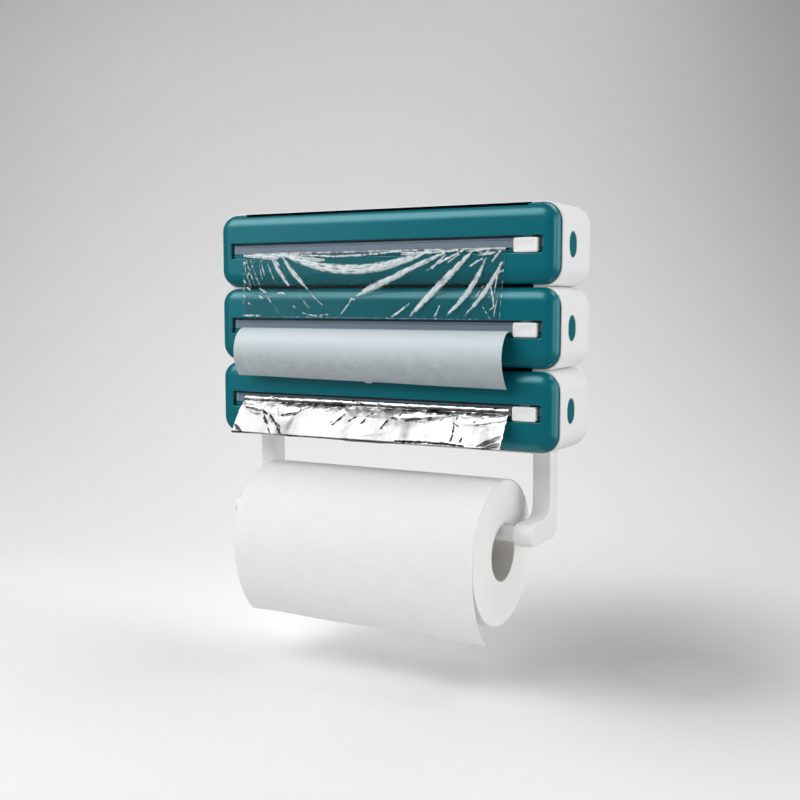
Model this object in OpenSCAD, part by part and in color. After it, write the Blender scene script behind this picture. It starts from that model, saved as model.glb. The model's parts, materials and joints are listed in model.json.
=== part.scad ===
// Wall-mounted dispenser: three stacked tiers for film, parchment and foil, and a kitchen paper roll below.
// X runs to the right, Y into the wall and Z up. The wall is the plane y = 0.
// The origin is the middle of the wall screws, at the centre of the middle tier. Lengths are in millimetres.

/* [Shells] */
// Width of a shell
shell_w = 387; // [370:1:440]
// Height of a shell
shell_h = 78.2; // [76:0.2:96]
// Depth of a shell from the wall to its front rim
shell_d = 84; // [82:1:110]
// Thickness of the shell's side, top and bottom walls
shell_wall = 1.6; // [1.2:0.1:2.2]
// Thickness of the shell's back panel
back_wall = 2.4; // [1.8:0.1:4]
// Radius of the shell's four corners, seen from the front
shell_corner_r = 19; // [17:0.5:24]
// Radius of the shell's back edges
shell_back_r = 12; // [6:0.5:15]
// Gap between two stacked shells
stack_gap = 0.2; // [0.1:0.1:0.6]

/* [Wall screws] */
// Diameter of the screw holes in the back panels
screw_hole_d = 5; // [4:0.1:7]
// Distance between the two screw holes of a shell
screw_span = 280; // [200:5:300]

/* [Covers] */
// Gap between a cover and the shell's rim
cover_gap = 0.4; // [0.3:0.05:0.8]
// Thickness of a cover
cover_wall = 2; // [1.6:0.1:2.6]
// How far a cover stands in front of the shell's rim
cover_dome = 10.5; // [8:0.5:11]
// Radius of a cover's front edge
cover_edge_r = 12; // [11.5:0.5:13]
// How far a cover's skirt reaches into the shell
cover_lap = 3; // [2:0.5:5]
// Distance between the shell's end and the end of a finger gap
finger_gap_margin = 31; // [26:1:90]
// Height of the finger gap in the top cover's upper edge
finger_gap_h = 2.3; // [2.2:0.1:3]
// How far the finger gaps between the tiers reach back behind the rims
finger_gap_d = 10; // [6:0.5:12]
// Distance between the shell's end and the slot's end
slot_margin = 18; // [17:0.5:22]
// Top edge of the slot above the tier's centre
slot_top = 7.5; // [6:0.5:9]
// Lower lip of the slot below the tier's centre
slot_lip = 8.6; // [7:0.2:10]

/* [Hinges] */
// How far the hinge axis lies in front of the centre of the cover's edge radius
hinge_forward = 2; // [1.75:0.25:3]
// Diameter of the hinge pins
hinge_pin_d = 4; // [3:0.5:5]
// Radius of the lugs around the hinge pins
hinge_lug_r = 5; // [4:0.25:6]
// Thickness of a cover's hinge ears
cover_ear_t = 4; // [3:0.5:5]
// Gap between a cover's ear and the bracket beside it
ear_gap = 1; // [0.5:0.1:1.5]
// Running clearance around pins and shafts
running_clear = 0.05; // [0.03:0.01:0.08]

/* [Cutters] */
// Height of the cutter rail's face
rail_h = 9.6; // [8:0.2:10.4]
// Gap between the slot's top edge and the rail
rail_gap = 1.7; // [1.6:0.1:2.2]
// How far the rail's face lies behind the cover
rail_recess = 1.5; // [1.3:0.1:2]
// Thickness of the rail's face
rail_d = 4; // [3:0.25:4.5]
// Thickness of the rail's web and of its flange
rail_web = 2; // [1.5:0.1:2.4]
// Length of an end cap that shows in the slot
cap_show = 4.5; // [3:0.5:6]
// Length of an end cap behind the cover
cap_hold = 4; // [3:0.5:4]
// Width of the slide cutter
slider_w = 24; // [20:1:32]
// How far the slide cutter stands in front of the cover
slider_proud = 1.5; // [1:0.1:3]
// Gap between the parked slide cutter and the slot's end
slider_park = 2.5; // [1:0.5:3]
// Sliding clearance around the rail
slider_clear = 0.3; // [0.2:0.05:0.4]
// Height of the slider's wing behind the cover
wing_h = 2.1; // [1.5:0.1:3]
// Radius of the thumb dish
dish_r = 60; // [40:5:90]
// Depth of the thumb dish
dish_depth = 0.9; // [0.5:0.1:1.2]
// Thickness of the blade
blade_t = 0.5; // [0.3:0.1:0.5]
// Width of the blade
blade_w = 14; // [8:1:18]
// How far the blade's point reaches below the slot's lip
blade_reach = 1.4; // [0.8:0.1:2]

/* [Sheets] */
// Gap between the parked slide cutter and the film's right edge
film_gap = 7.5; // [1:0.5:30]
// Gap between the parked slide cutter and the parchment's right edge
paper_gap = 2.5; // [1:0.5:30]
// Gap between the parked slide cutter and the foil's right edge
foil_gap = 2.5; // [1:0.5:30]
// Gap between the left bracket and the sheets' left edge
sheet_gap = 7.5; // [7:0.5:12]
// Thickness of a sheet's solid
sheet_t = 0.3; // [0.2:0.05:0.3]
// Gap between a sheet and what it passes
sheet_clear = 0.3; // [0.2:0.05:0.4]
// How far the film hangs below the slot's lip
film_drop = 58.8; // [30:0.2:60]
// How far the film's end stands off the cover
film_reach = 2.5; // [1.5:0.5:6]
// How far the parchment hangs below the slot's lip
paper_drop = 47.4; // [30:0.2:60]
// How far the parchment's curl stands off the cover
paper_curl = 25; // [12:1:30]
// How far the parchment's end stands off the cover
paper_reach = 10; // [4:1:20]
// How far the foil hangs below the slot's lip
foil_drop = 29.5; // [20:0.5:34]
// How far the foil's end stands off the cover
foil_reach = 23; // [8:1:26]

/* [Rolls] */
// Outside diameter of the cardboard cores
core_d = 32; // [28:1:36]
// Wall of the cardboard cores
core_wall = 2; // [1:0.2:3]
// Outside diameter of the wound sheets
wound_d = 44; // [40:1:50]
// Distance of the rolls' axis behind the rim
roll_set_back = 38; // [35:0.5:44]
// Diameter of the hubs' shafts
hub_shaft_d = 8; // [6:0.5:8]
// Thickness of the hubs' flanges
hub_flange_t = 2; // [1.5:0.5:3]
// How far a hub plugs into the core
hub_plug_l = 12; // [8:1:20]
// Fit between a core and what it holds
core_fit = 0.1; // [0.05:0.05:0.3]

/* [Brackets] */
// Thickness of the end brackets
bracket_t = 3; // [2:0.25:4]
// Distance of a bracket's outer face from the shell's end wall
bracket_inset = 22.9; // [20:0.5:25]
// Height of the bracket's plate
bracket_h = 24; // [18:1:26]
// Length of the bracket's foot on the back panel
bracket_foot = 14; // [10:1:20]

/* [Buttons] */
// Width of the oval button
button_w = 20; // [16:0.5:22]
// Height of the oval button
button_h = 24; // [22:0.5:26]
// Distance of the button's centre behind the rim
button_set_back = 27.5; // [26:0.5:34]
// How far the button is pushed in
button_travel = 3; // [2:0.25:4]
// Gap between the button and its hole
button_clear = 0.3; // [0.2:0.05:0.5]
// Length of the button's plunger
button_l = 9.5; // [8:0.5:11]
// Thickness of the flange that keeps the button in
flange_t = 1.4; // [1:0.1:2]
// How far the flange stands around the button
flange_lip = 2; // [1:0.25:3]
// Gap between the flange and the end wall
flange_seat = 0.1; // [0.05:0.05:0.3]
// Diameter of the button springs
button_spring_d = 8; // [6:0.5:9]
// Thickness of the springs' wire
spring_wire = 0.8; // [0.5:0.1:1]

/* [Latches] */
// Thickness of a latch tongue
tongue_t = 2; // [1.5:0.25:2.5]
// Height of a latch tongue
tongue_h = 5.5; // [4:0.5:6]
// Height of the hook on a tongue
hook_h = 0.6; // [0.3:0.1:0.8]
// Gap around the latch's moving faces
latch_clear = 0.4; // [0.3:0.05:0.6]
// Depth of a latch catch
catch_d = 3; // [2:0.5:4]

/* [Fasteners] */
// Diameter of the screws' shanks
screw_d = 3.9; // [3:0.1:4.5]
// Diameter of the screws' heads
screw_head_d = 7; // [6:0.5:8]
// Height of the screws' heads
screw_head_h = 2.2; // [1.5:0.1:3]
// Distance of the stacking screws from the middle
stack_screw_x = 110; // [60:5:130]
// Distance of the stacking screws from the wall
stack_screw_y = 18; // [17:0.5:20]
// Thickness of the stacking nuts
nut_h = 3.2; // [2.5:0.1:4]

/* [Towel arms] */
// Distance of an arm's outer face from the shell's end
arm_inset = 22; // [20:0.5:30]
// Width of an arm
arm_w = 19.2; // [18:0.2:20]
// Thickness of an arm's bar
arm_t = 19.6; // [16:0.2:22]
// Distance of the bar's back from the wall
arm_wall_gap = 30.1; // [24:0.5:34]
// Height of the arm's mounting flange
arm_flange_h = 2; // [1:0.25:3]
// How far the mounting flange stands around the bar
arm_flange_lip = 2; // [1:0.25:3]
// Distance of the peg's axis from the wall
peg_y = 89.75; // [85:0.25:100]
// Distance of the peg's axis below the bottom shell
peg_drop = 77.3; // [74:0.1:90]
// Radius of the arm's nose around the peg
nose_r = 10.85; // [10.5:0.05:12]
// Radius of the arm's inner bend
arm_inner_r = 13; // [8:0.5:16]
// Radius of the arm's outer bend
arm_outer_r = 14; // [8:0.5:16]
// Length of an arm screw below the shell's floor
arm_screw_l = 14; // [10:0.5:18]
// Distance between the two screws of an arm
arm_screw_span = 9.2; // [8:0.2:10]

/* [Pegs] */
// Diameter of the pegs
peg_d = 15; // [13:0.25:15]
// How far a peg stands out of its arm
peg_out = 30.3; // [28:0.1:34]
// How far a peg can be pushed back
peg_travel = 12.5; // [12:0.1:12.5]
// Thickness of a peg's flange
peg_flange_t = 2; // [1.5:0.1:2]
// Diameter of the arm's bore for the flange
peg_bore_d = 17.5; // [17:0.1:18]
// Depth of that bore
peg_bore_l = 17.3; // [17.2:0.1:17.6]
// Length of the collar in the bore's mouth
collar_l = 2.5; // [2:0.1:2.5]
// Thickness of a peg's closed end
peg_end_t = 5; // [3:0.5:8]
// Diameter of the peg springs
peg_spring_d = 8.6; // [7:0.2:9]

/* [Kitchen paper] */
// Gap between the left arm and the kitchen paper roll
towel_gap_left = 26; // [16:0.1:26]
// Gap between the right arm and the kitchen paper roll
towel_gap_right = 13.3; // [10:0.1:26]
// Diameter of the kitchen paper roll
towel_d = 141; // [110:1:141]
// Inside diameter of its core
towel_core_d = 54.6; // [44:0.2:56]
// Wall of its core
towel_core_wall = 1.2; // [0.8:0.1:2]
// How far the loose end hangs below the roll's axis
towel_tail_drop = 82.4; // [60:0.2:84]
// How far the loose end turns back from the roll's front
towel_tail_back = 31.6; // [10:0.2:34]

/* [Hidden] */
TIERS = ["top", "middle", "bottom"];
SHEETS = ["film", "paper", "foil"];
TIER_PARTS = [
    "shell", "cover", "latch_tongues", "cutter_rail", "rail_end_caps", "cutter_slider", "cutter_blade",
    "roll_core", "roll_hubs", "end_brackets", "button_right", "button_left"
];
SHEET_PARTS = ["roll", "lead", "tail"];
SHARED_PARTS = [
    "hinge_pins", "button_springs", "latch_catches", "stacking_screws", "stacking_nuts",
    "left_arm", "right_arm", "left_peg", "right_peg", "peg_springs", "peg_collars",
    "towel_core", "towel_roll", "towel_tail", "arm_screws"
];

$fn = 64;
cut = 1;
sides = [-1, 1];

white = [0.90, 0.91, 0.90];
teal = [0.03, 0.38, 0.42];
rail_grey = [0.40, 0.46, 0.53];
pale_grey = [0.75, 0.77, 0.78];
steel = [0.70, 0.71, 0.73];
card = [0.70, 0.60, 0.46];
film_tint = [0.80, 0.88, 0.88];
parchment = [0.76, 0.80, 0.81];
foil_silver = [0.78, 0.79, 0.80];
towel_white = [0.93, 0.93, 0.92];

// Tiers, from top to bottom
pitch = shell_h + stack_gap;
tier_z = [pitch, 0, -pitch];
sheet_colour = [film_tint, parchment, foil_silver];
inner_end = shell_w / 2 - shell_wall;
inner_half_h = shell_h / 2 - shell_wall;
rim_y = -shell_d;
stack_bottom = -pitch - shell_h / 2;

// Covers and hinges
cover_w = shell_w - 2 * (shell_wall + cover_gap);
cover_h = shell_h - 2 * (shell_wall + cover_gap);
cover_corner_r = shell_corner_r - shell_wall - cover_gap;
front_y = rim_y - cover_dome;
skirt_y = rim_y + cover_lap;
behind_cover_y = front_y + cover_wall;
edge_y = front_y + cover_edge_r;
finger_gap_w = shell_w - 2 * finger_gap_margin;
slot_w = shell_w - 2 * slot_margin;
hinge_y = edge_y - hinge_forward;
hinge_z = -cover_h / 2 + cover_edge_r;
bracket_out = inner_end - bracket_inset;
bracket_in = bracket_out - bracket_t;
ear_in = bracket_out + ear_gap;
ear_out = ear_in + cover_ear_t;
post_gap = 1;

// Cutter rail and slider
rail_front = behind_cover_y + rail_recess;
rail_back = rail_front + rail_d;
web_back = rail_back + rail_web;
rail_hi = slot_top - rail_gap;
rail_lo = rail_hi - rail_h;
wing_top = slot_top + wing_h;
flange_lo = wing_top + slider_clear;
flange_hi = flange_lo + rail_web;
rail_end = slot_w / 2 - cap_show;
cap_end = slot_w / 2 + cap_hold;
slider_back = rail_front - slider_clear;
slider_front = front_y - slider_proud;
slider_foot = -slot_lip + 2 * slider_clear;
slider_head = slot_top - slider_clear;
slider_x = slot_w / 2 - slider_park - slider_w / 2;
blade_slack = 0.1;
pocket_y = slider_back - blade_t - blade_slack;
blade_top = rail_lo + rail_h / 2;

// Sheets
roll_y = rim_y + roll_set_back;
sheet_left = bracket_in - sheet_gap;
sheet_right_max = slider_x - slider_w / 2;
sheet_right = [sheet_right_max - film_gap, sheet_right_max - paper_gap, sheet_right_max - foil_gap];
lip_rise = 0.05;
lip_turn_r = 0.55;
lead_gap = 0.5;
lip_z = -slot_lip + lip_rise;
tail_in_y = behind_cover_y + sheet_clear;
path_steps = 12;
lip_angle = [90, 45, 60];
// Shares of a sheet's reach and drop at its two bend points
film_bend = [[0.4, 0.35], [0.6, 0.7]];
paper_bend = [[0.9, 0.12], [1.05, 0.68]];
foil_bend = [[0.28, 0.28], [0.64, 0.64]];
towel_bend = [[0, 0.37], [0.33, 0.78]];

// Buttons and latches
button_y = rim_y + button_set_back;
button_in = shell_w / 2 - button_l;
flange_out = inner_end - flange_seat;
tongue_out = flange_out - flange_t - button_travel - latch_clear;
tongue_lo = button_h / 2 + flange_lip + latch_clear;
tongue_hi = tongue_lo + tongue_h;
tab_w = button_w / 2;
hook_d = 2.5;
hook_gap = 1;
catch_y = button_y - button_w / 2 - flange_lip - catch_d - hook_d - hook_gap;
corner_ease = 2;
nut_lip = 1;

// Arms, pegs and kitchen paper
arm_out = shell_w / 2 - arm_inset;
arm_in = arm_out - arm_w;
arm_back = -arm_wall_gap;
arm_front = arm_back - arm_t;
arm_mid_x = arm_in + arm_w / 2;
arm_mid_y = (arm_back + arm_front) / 2;
peg_z = stack_bottom - peg_drop;
lug_top = peg_z + nose_r;
lug_bottom = peg_z - nose_r;
peg_tip = arm_in - peg_out;
peg_flange_x = arm_in + collar_l + running_clear;
peg_spring_gap = 0.3;
peg_hollow_r = peg_spring_d / 2 + peg_spring_gap;
peg_hang_gap = 0.3;
towel_left = towel_gap_left - arm_in;
towel_right = arm_in - towel_gap_right;
towel_z = peg_z - towel_core_d / 2 + peg_d / 2 + peg_hang_gap;
towel_core_r = towel_core_d / 2 + towel_core_wall;

// A shape drawn in Y and Z, carried along X from one place to another.
module along_x(from, to) {
    translate([from, 0, 0])
        rotate([90, 0, 90])
            linear_extrude(to - from)
                children();
}

// A round bar along X.
module rod_x(from, to, y, z, r) {
    translate([from, y, z])
        rotate([0, 90, 0])
            cylinder(h = to - from, r = r);
}

// A block between two corners.
module block(low, high) {
    translate(low)
        cube(high - low);
}

// The children and their mirror image on the left.
module both_ends() {
    children();
    mirror([1, 0, 0])
        children();
}

// Section of a rounded edge, r wide and d tall, whose upper outer corner has radius e.
module edge_section(r, d, e) {
    square([r, d - e]);
    square([r - e, d]);
    translate([r - e, d - e])
        intersection() {
            circle(e);
            square(e);
        }
}

// One straight edge of a soft box.
module soft_edge(run, offset, r, d, e) {
    translate([offset, run / 2, 0])
        rotate([90, 0, 0])
            linear_extrude(run)
                edge_section(r, d, e);
}

// A box with rounded corners in plan whose top edge is rounded too.
module soft_box(w, h, d, r, e) {
    half_w = w / 2 - r;
    half_h = h / 2 - r;
    block([-half_w, -half_h, 0], [half_w, half_h, d]);
    for (turn = [0, 180]) {
        rotate([0, 0, turn])
            soft_edge(2 * half_h, half_w, r, d, e);
        rotate([0, 0, turn + 90])
            soft_edge(2 * half_w, half_h, r, d, e);
        rotate([0, 0, turn]) {
            translate([half_w, half_h, 0])
                rotate_extrude(angle = 90)
                    edge_section(r, d, e);
            translate([-half_w, half_h, 0])
                rotate([0, 0, 90])
                    rotate_extrude(angle = 90)
                        edge_section(r, d, e);
        }
    }
}

// An upright oval with straight sides, drawn in Y and Z.
module oval(w, h) {
    square([w, h - w], center = true);
    for (s = sides)
        translate([0, s * (h - w) / 2])
            circle(d = w);
}

// A tube along X that stands for a coil spring.
module spring_sleeve(from, to, y, z, d) {
    difference() {
        rod_x(from, to, y, z, d / 2);
        rod_x(from - cut, to + cut, y, z, d / 2 - spring_wire);
    }
}

// Points along a sheet, and the thin band that follows them.
function curve_point(p, t) =
    pow(1 - t, 3) * p[0] + 3 * pow(1 - t, 2) * t * p[1] + 3 * (1 - t) * t * t * p[2] + t * t * t * p[3];
function curve(p) = [for (i = [0:path_steps]) curve_point(p, i / path_steps)];
function side_of(path, i) =
    let (run = path[min(i + 1, len(path) - 1)] - path[max(i - 1, 0)])
    [run[1], -run[0]] / norm(run);
function band(path, t) =
    concat(path, [for (i = [len(path) - 1:-1:0]) path[i] + t * side_of(path, i)]);

// Where a sheet leaves its roll for the slot.
slot_point = [tail_in_y + lead_gap, lip_z + sheet_t];
roll_side_r = wound_d / 2 + sheet_clear;
to_slot = slot_point - [roll_y, 0];
leave_angle = atan2(to_slot[1], to_slot[0]) + acos(roll_side_r / norm(to_slot));
leave_point = [roll_y, 0] + roll_side_r * [cos(leave_angle), sin(leave_angle)];

// A tail turns over the slot's lip through an angle and then hangs in a curve.
function lip_turn(angle) =
    [for (a = [0:15:angle]) [front_y, lip_z - lip_turn_r] + lip_turn_r * [-sin(a), cos(a)]];
function below_lip(reach, drop) = [front_y - reach, lip_z - drop];
function hang(angle, bend, curl, reach, drop) =
    let (turn = lip_turn(angle))
    concat(
        [[tail_in_y, lip_z]],
        [for (i = [0:len(turn) - 2]) turn[i]],
        curve([
            turn[len(turn) - 1], below_lip(bend[0][0] * curl, bend[0][1] * drop),
            below_lip(bend[1][0] * curl, bend[1][1] * drop), below_lip(reach, drop)
        ])
    );
tail_path = [
    hang(lip_angle[0], film_bend, film_reach, film_reach, film_drop),
    hang(lip_angle[1], paper_bend, paper_curl, paper_reach, paper_drop),
    hang(lip_angle[2], foil_bend, foil_reach, foil_reach, foil_drop)
];

// What of the children lies inside a shell, clear of its rounded corners.
module inside_shell() {
    intersection() {
        children();
        translate([0, rim_y, 0])
            rotate([-90, 0, 0])
                soft_box(2 * inner_end, 2 * inner_half_h, shell_d - back_wall,
                    shell_corner_r - shell_wall + corner_ease, shell_back_r - shell_wall);
    }
}

// White housing of a tier, open at the front.
module shell(t) {
    color(white)
        translate([0, 0, tier_z[t]])
            difference() {
                translate([0, rim_y, 0])
                    rotate([-90, 0, 0])
                        soft_box(shell_w, shell_h, shell_d, shell_corner_r, shell_back_r);
                translate([0, rim_y - cut, 0])
                    rotate([-90, 0, 0])
                        soft_box(2 * inner_end, 2 * inner_half_h, shell_d - back_wall + cut,
                            shell_corner_r - shell_wall, shell_back_r - shell_wall);
                button_holes();
                if (t != 1)
                    wall_screw_holes();
                if (t < 2) {
                    stack_screw_holes(-1);
                    finger_gap(-1);
                }
                if (t > 0) {
                    stack_screw_holes(1);
                    finger_gap(1);
                }
                if (t == 2)
                    arm_screw_holes(-shell_h / 2);
            }
}

module button_holes() {
    both_ends()
        along_x(inner_end - cut, shell_w / 2 + cut)
            translate([button_y, 0])
                oval(button_w + 2 * button_clear, button_h + 2 * button_clear);
}

module wall_screw_holes() {
    for (s = sides)
        translate([s * screw_span / 2, cut, 0])
            rotate([90, 0, 0])
                cylinder(h = back_wall + 2 * cut, d = screw_hole_d);
}

module stack_screw_holes(side) {
    for (s = sides)
        translate([s * stack_screw_x, -stack_screw_y, side * (shell_h - shell_wall) / 2])
            cylinder(h = shell_wall + 2 * cut, d = screw_d + 2 * running_clear, center = true);
}

// Where the rims of two tiers are cut back, so that a fingertip reaches the lower tier's cover.
module finger_gap(side) {
    translate([0, rim_y, side * (shell_h - shell_wall) / 2])
        cube([finger_gap_w, 2 * finger_gap_d, shell_wall + 2 * cut], center = true);
}

// Holes for an arm's screws through a face at height z.
module arm_screw_holes(z) {
    for (side = sides, s = sides)
        translate([side * arm_mid_x, arm_mid_y + s * arm_screw_span / 2, z])
            cylinder(h = 2 * (shell_wall + cut), d = screw_d + 2 * running_clear, center = true);
}

// Teal front of a tier with its slot and hinge ears. The top one has the finger gap in its upper edge.
module cover(t) {
    color(teal)
        translate([0, 0, tier_z[t]]) {
            difference() {
                translate([0, skirt_y, 0])
                    rotate([90, 0, 0])
                        soft_box(cover_w, cover_h, skirt_y - front_y, cover_corner_r, cover_edge_r);
                translate([0, skirt_y + cut, 0])
                    rotate([90, 0, 0])
                        soft_box(cover_w - 2 * cover_wall, cover_h - 2 * cover_wall,
                            skirt_y - behind_cover_y + cut, cover_corner_r - cover_wall,
                            cover_edge_r - cover_wall);
                block([-slot_w / 2, front_y - cut, -slot_lip], [slot_w / 2, behind_cover_y + cut, slot_top]);
                if (t == 0)
                    block([-finger_gap_w / 2, front_y - cut, cover_h / 2 - finger_gap_h],
                        [finger_gap_w / 2, skirt_y + cut, cover_h / 2 + cut]);
            }
            both_ends()
                hinge_ear();
        }
}

module hinge_ear() {
    root_y = front_y + 0.75 * cover_wall;
    difference() {
        union() {
            rod_x(ear_in, ear_out, hinge_y, hinge_z, hinge_lug_r);
            block([ear_in, root_y, hinge_z - hinge_lug_r], [ear_out, hinge_y, hinge_z + hinge_lug_r]);
        }
        rod_x(ear_in - cut, ear_out + cut, hinge_y, hinge_z, hinge_pin_d / 2 + running_clear);
    }
}

// Tongues behind a cover's ends that hook behind the catches.
module latch_tongues(t) {
    tongue_in = tongue_out - tongue_t;
    fillet_run = tongue_out - (cover_w / 2 - cover_edge_r);
    inner_r = cover_edge_r - cover_wall;
    root_y = edge_y - sqrt(inner_r * inner_r - fillet_run * fillet_run);
    hook_y = catch_y + catch_d + latch_clear;
    color(teal)
        translate([0, 0, tier_z[t]])
            both_ends() {
                block([tongue_in, root_y, tongue_lo], [tongue_out, button_y + tab_w / 2, tongue_hi]);
                block([tongue_out, hook_y, tongue_lo], [tongue_out + hook_h, hook_y + hook_d, tongue_hi]);
            }
}

// Section of the cutter rail: a face, a web behind it and a flange on the cover.
module rail_section() {
    polygon([
        [rail_front, rail_lo], [web_back, rail_lo], [web_back, flange_hi], [behind_cover_y, flange_hi],
        [behind_cover_y, flange_lo], [rail_back, flange_lo], [rail_back, rail_hi], [rail_front, rail_hi]
    ]);
}

module cutter_rail(t) {
    color(rail_grey)
        translate([0, 0, tier_z[t]])
            along_x(-rail_end, rail_end)
                rail_section();
}

module rail_end_caps(t) {
    color(pale_grey)
        translate([0, 0, tier_z[t]])
            both_ends()
                along_x(rail_end, cap_end)
                    rail_section();
}

// White slide cutter with a wing behind the slot's top edge and a thumb dish.
module cutter_slider(t) {
    wing_front = behind_cover_y + slider_clear;
    wing_back = rail_back - slider_clear;
    wing_lo = rail_hi + slider_clear;
    color(white)
        translate([slider_x, 0, tier_z[t]])
            difference() {
                along_x(-slider_w / 2, slider_w / 2)
                    polygon([
                        [slider_front, slider_foot], [slider_back, slider_foot], [slider_back, wing_lo],
                        [wing_back, wing_lo], [wing_back, wing_top], [wing_front, wing_top],
                        [wing_front, slider_head], [slider_front, slider_head]
                    ]);
                translate([0, slider_front - dish_r + dish_depth, slider_foot - cut])
                    cylinder(h = slider_head - slider_foot + 2 * cut, r = dish_r, $fn = 128);
                block([-blade_w / 2 - blade_slack, pocket_y, slider_foot - cut],
                    [blade_w / 2 + blade_slack, slider_back + cut, blade_top + blade_slack]);
            }
}

module cutter_blade(t) {
    tip_z = -slot_lip - blade_reach;
    tip_w = 1;
    color(steel)
        translate([slider_x, pocket_y + blade_t, tier_z[t]])
            rotate([90, 0, 0])
                linear_extrude(blade_t)
                    polygon([
                        [-blade_w / 2, blade_top], [-blade_w / 2, slider_foot], [-tip_w, tip_z],
                        [tip_w, tip_z], [blade_w / 2, slider_foot], [blade_w / 2, blade_top]
                    ]);
}

// A tube along X at the rolls' axis of a tier.
module roll_tube(t, outside_r, inside_r) {
    translate([0, 0, tier_z[t]])
        difference() {
            rod_x(-sheet_left, sheet_right[t], roll_y, 0, outside_r);
            rod_x(-sheet_left - cut, sheet_right[t] + cut, roll_y, 0, inside_r);
        }
}

module roll_core(t) {
    color(card)
        roll_tube(t, core_d / 2, core_d / 2 - core_wall);
}

module sheet_roll(t) {
    color(sheet_colour[t])
        roll_tube(t, wound_d / 2, core_d / 2 + core_fit);
}

// The stretch of sheet from the roll to the slot.
module sheet_lead(t) {
    color(sheet_colour[t])
        translate([0, 0, tier_z[t]])
            along_x(-sheet_left, sheet_right[t])
                polygon(band([slot_point, leave_point], sheet_t));
}

// The stretch of sheet that hangs out of the slot.
module sheet_tail(t) {
    color(sheet_colour[t])
        translate([0, 0, tier_z[t]])
            along_x(-sheet_left, sheet_right[t])
                polygon(band(tail_path[t], sheet_t));
}

// Hubs that plug into both ends of a core and turn in the brackets.
module roll_hubs(t) {
    shaft_end = bracket_out - running_clear;
    left_end = -sheet_left - core_fit;
    right_end = sheet_right[t] + core_fit;
    color(pale_grey)
        translate([0, 0, tier_z[t]]) {
            roll_hub(right_end, shaft_end);
            mirror([1, 0, 0])
                roll_hub(-left_end, shaft_end);
        }
}

module roll_hub(from, to) {
    rod_x(from - hub_plug_l, from + cut, roll_y, 0, core_d / 2 - core_wall - core_fit);
    rod_x(from, from + hub_flange_t, roll_y, 0, core_d / 2);
    rod_x(from, to, roll_y, 0, hub_shaft_d / 2);
}

// Plates inside the shell that carry the hubs, the hinge pins and the button springs.
module end_brackets(t) {
    color(white)
        translate([0, 0, tier_z[t]])
            both_ends()
                end_bracket();
}

module end_bracket() {
    post_front = max(hinge_y - hinge_lug_r, web_back + post_gap);
    difference() {
        union() {
            block([bracket_in, post_front, -bracket_h / 2], [bracket_out, -back_wall, bracket_h / 2]);
            block([bracket_in, post_front, hinge_z], [bracket_out, hinge_y + hinge_lug_r, 0]);
            rod_x(bracket_in, bracket_out, hinge_y, hinge_z, hinge_lug_r);
            block([bracket_out - bracket_foot, -back_wall - bracket_t, -bracket_h / 2],
                [bracket_out, -back_wall, bracket_h / 2]);
        }
        rod_x(bracket_in - cut, bracket_out + cut, roll_y, 0, hub_shaft_d / 2 + running_clear);
        rod_x(bracket_in - cut, bracket_out + cut, hinge_y, hinge_z, hinge_pin_d / 2 + running_clear);
    }
}

module hinge_pins() {
    color(steel)
        for (z = tier_z)
            translate([0, 0, z])
                both_ends()
                    rod_x(bracket_in, ear_out, hinge_y, hinge_z, hinge_pin_d / 2);
}

// Oval release button: a plunger, the flange that keeps it in and a tab that meets the latch tongue.
module button() {
    color(teal) {
        along_x(button_in, shell_w / 2)
            translate([button_y, 0])
                oval(button_w, button_h);
        inside_shell()
            along_x(flange_out - flange_t, flange_out)
                translate([button_y, 0]) {
                    oval(button_w + 2 * flange_lip, button_h + 2 * flange_lip);
                    translate([-tab_w / 2, 0])
                        square([tab_w, tongue_hi]);
                }
    }
}

module button_right(t) {
    translate([0, 0, tier_z[t]])
        button();
}

module button_left(t) {
    mirror([1, 0, 0])
        button_right(t);
}

module button_springs() {
    color(steel)
        for (z = tier_z)
            translate([0, 0, z])
                both_ends()
                    spring_sleeve(bracket_out, button_in, button_y, 0, button_spring_d);
}

// Lugs on the end walls in front of the tongues' hooks.
module latch_catches() {
    color(white)
        for (z = tier_z)
            translate([0, 0, z])
                both_ends()
                    inside_shell()
                        block([tongue_out + hook_h + latch_clear, catch_y, tongue_lo],
                            [inner_end, catch_y + catch_d, tongue_hi]);
}

// A screw that points down, with its head's underside at z = 0.
module screw(l) {
    cylinder(h = screw_head_h, d = screw_head_d);
    translate([0, 0, -l])
        cylinder(h = l + cut, d = screw_d);
}

// Screws through the floor of one shell and the top of the next.
module at_stack_screws() {
    for (t = [0, 1], s = sides)
        translate([s * stack_screw_x, -stack_screw_y, tier_z[t] - inner_half_h])
            children();
}

module stacking_screws() {
    color(steel)
        at_stack_screws()
            screw(2 * shell_wall + stack_gap + nut_h + cut);
}

module stacking_nuts() {
    color(steel)
        at_stack_screws()
            translate([0, 0, -2 * shell_wall - stack_gap - nut_h])
                difference() {
                    cylinder(h = nut_h, d = screw_head_d + nut_lip, $fn = 6);
                    translate([0, 0, -cut])
                        cylinder(h = nut_h + 2 * cut, d = screw_d + 2 * running_clear, $fn = 64);
                }
}

// Outline of an arm, drawn in Y and Z: a bar that bends forward to a round nose.
module arm_outline() {
    translate([arm_front, lug_bottom + arm_outer_r])
        square([arm_t, stack_bottom - lug_bottom - arm_outer_r]);
    translate([-peg_y, lug_bottom])
        square([peg_y - arm_wall_gap - arm_outer_r, 2 * nose_r]);
    translate([arm_back - arm_outer_r, lug_bottom + arm_outer_r])
        circle(arm_outer_r);
    translate([-peg_y, peg_z])
        circle(nose_r);
    translate([arm_front - arm_inner_r, lug_top])
        difference() {
            square(arm_inner_r + cut);
            translate([0, arm_inner_r])
                circle(arm_inner_r);
            translate([-cut, arm_inner_r])
                square(arm_inner_r + 3 * cut);
        }
}

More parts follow.
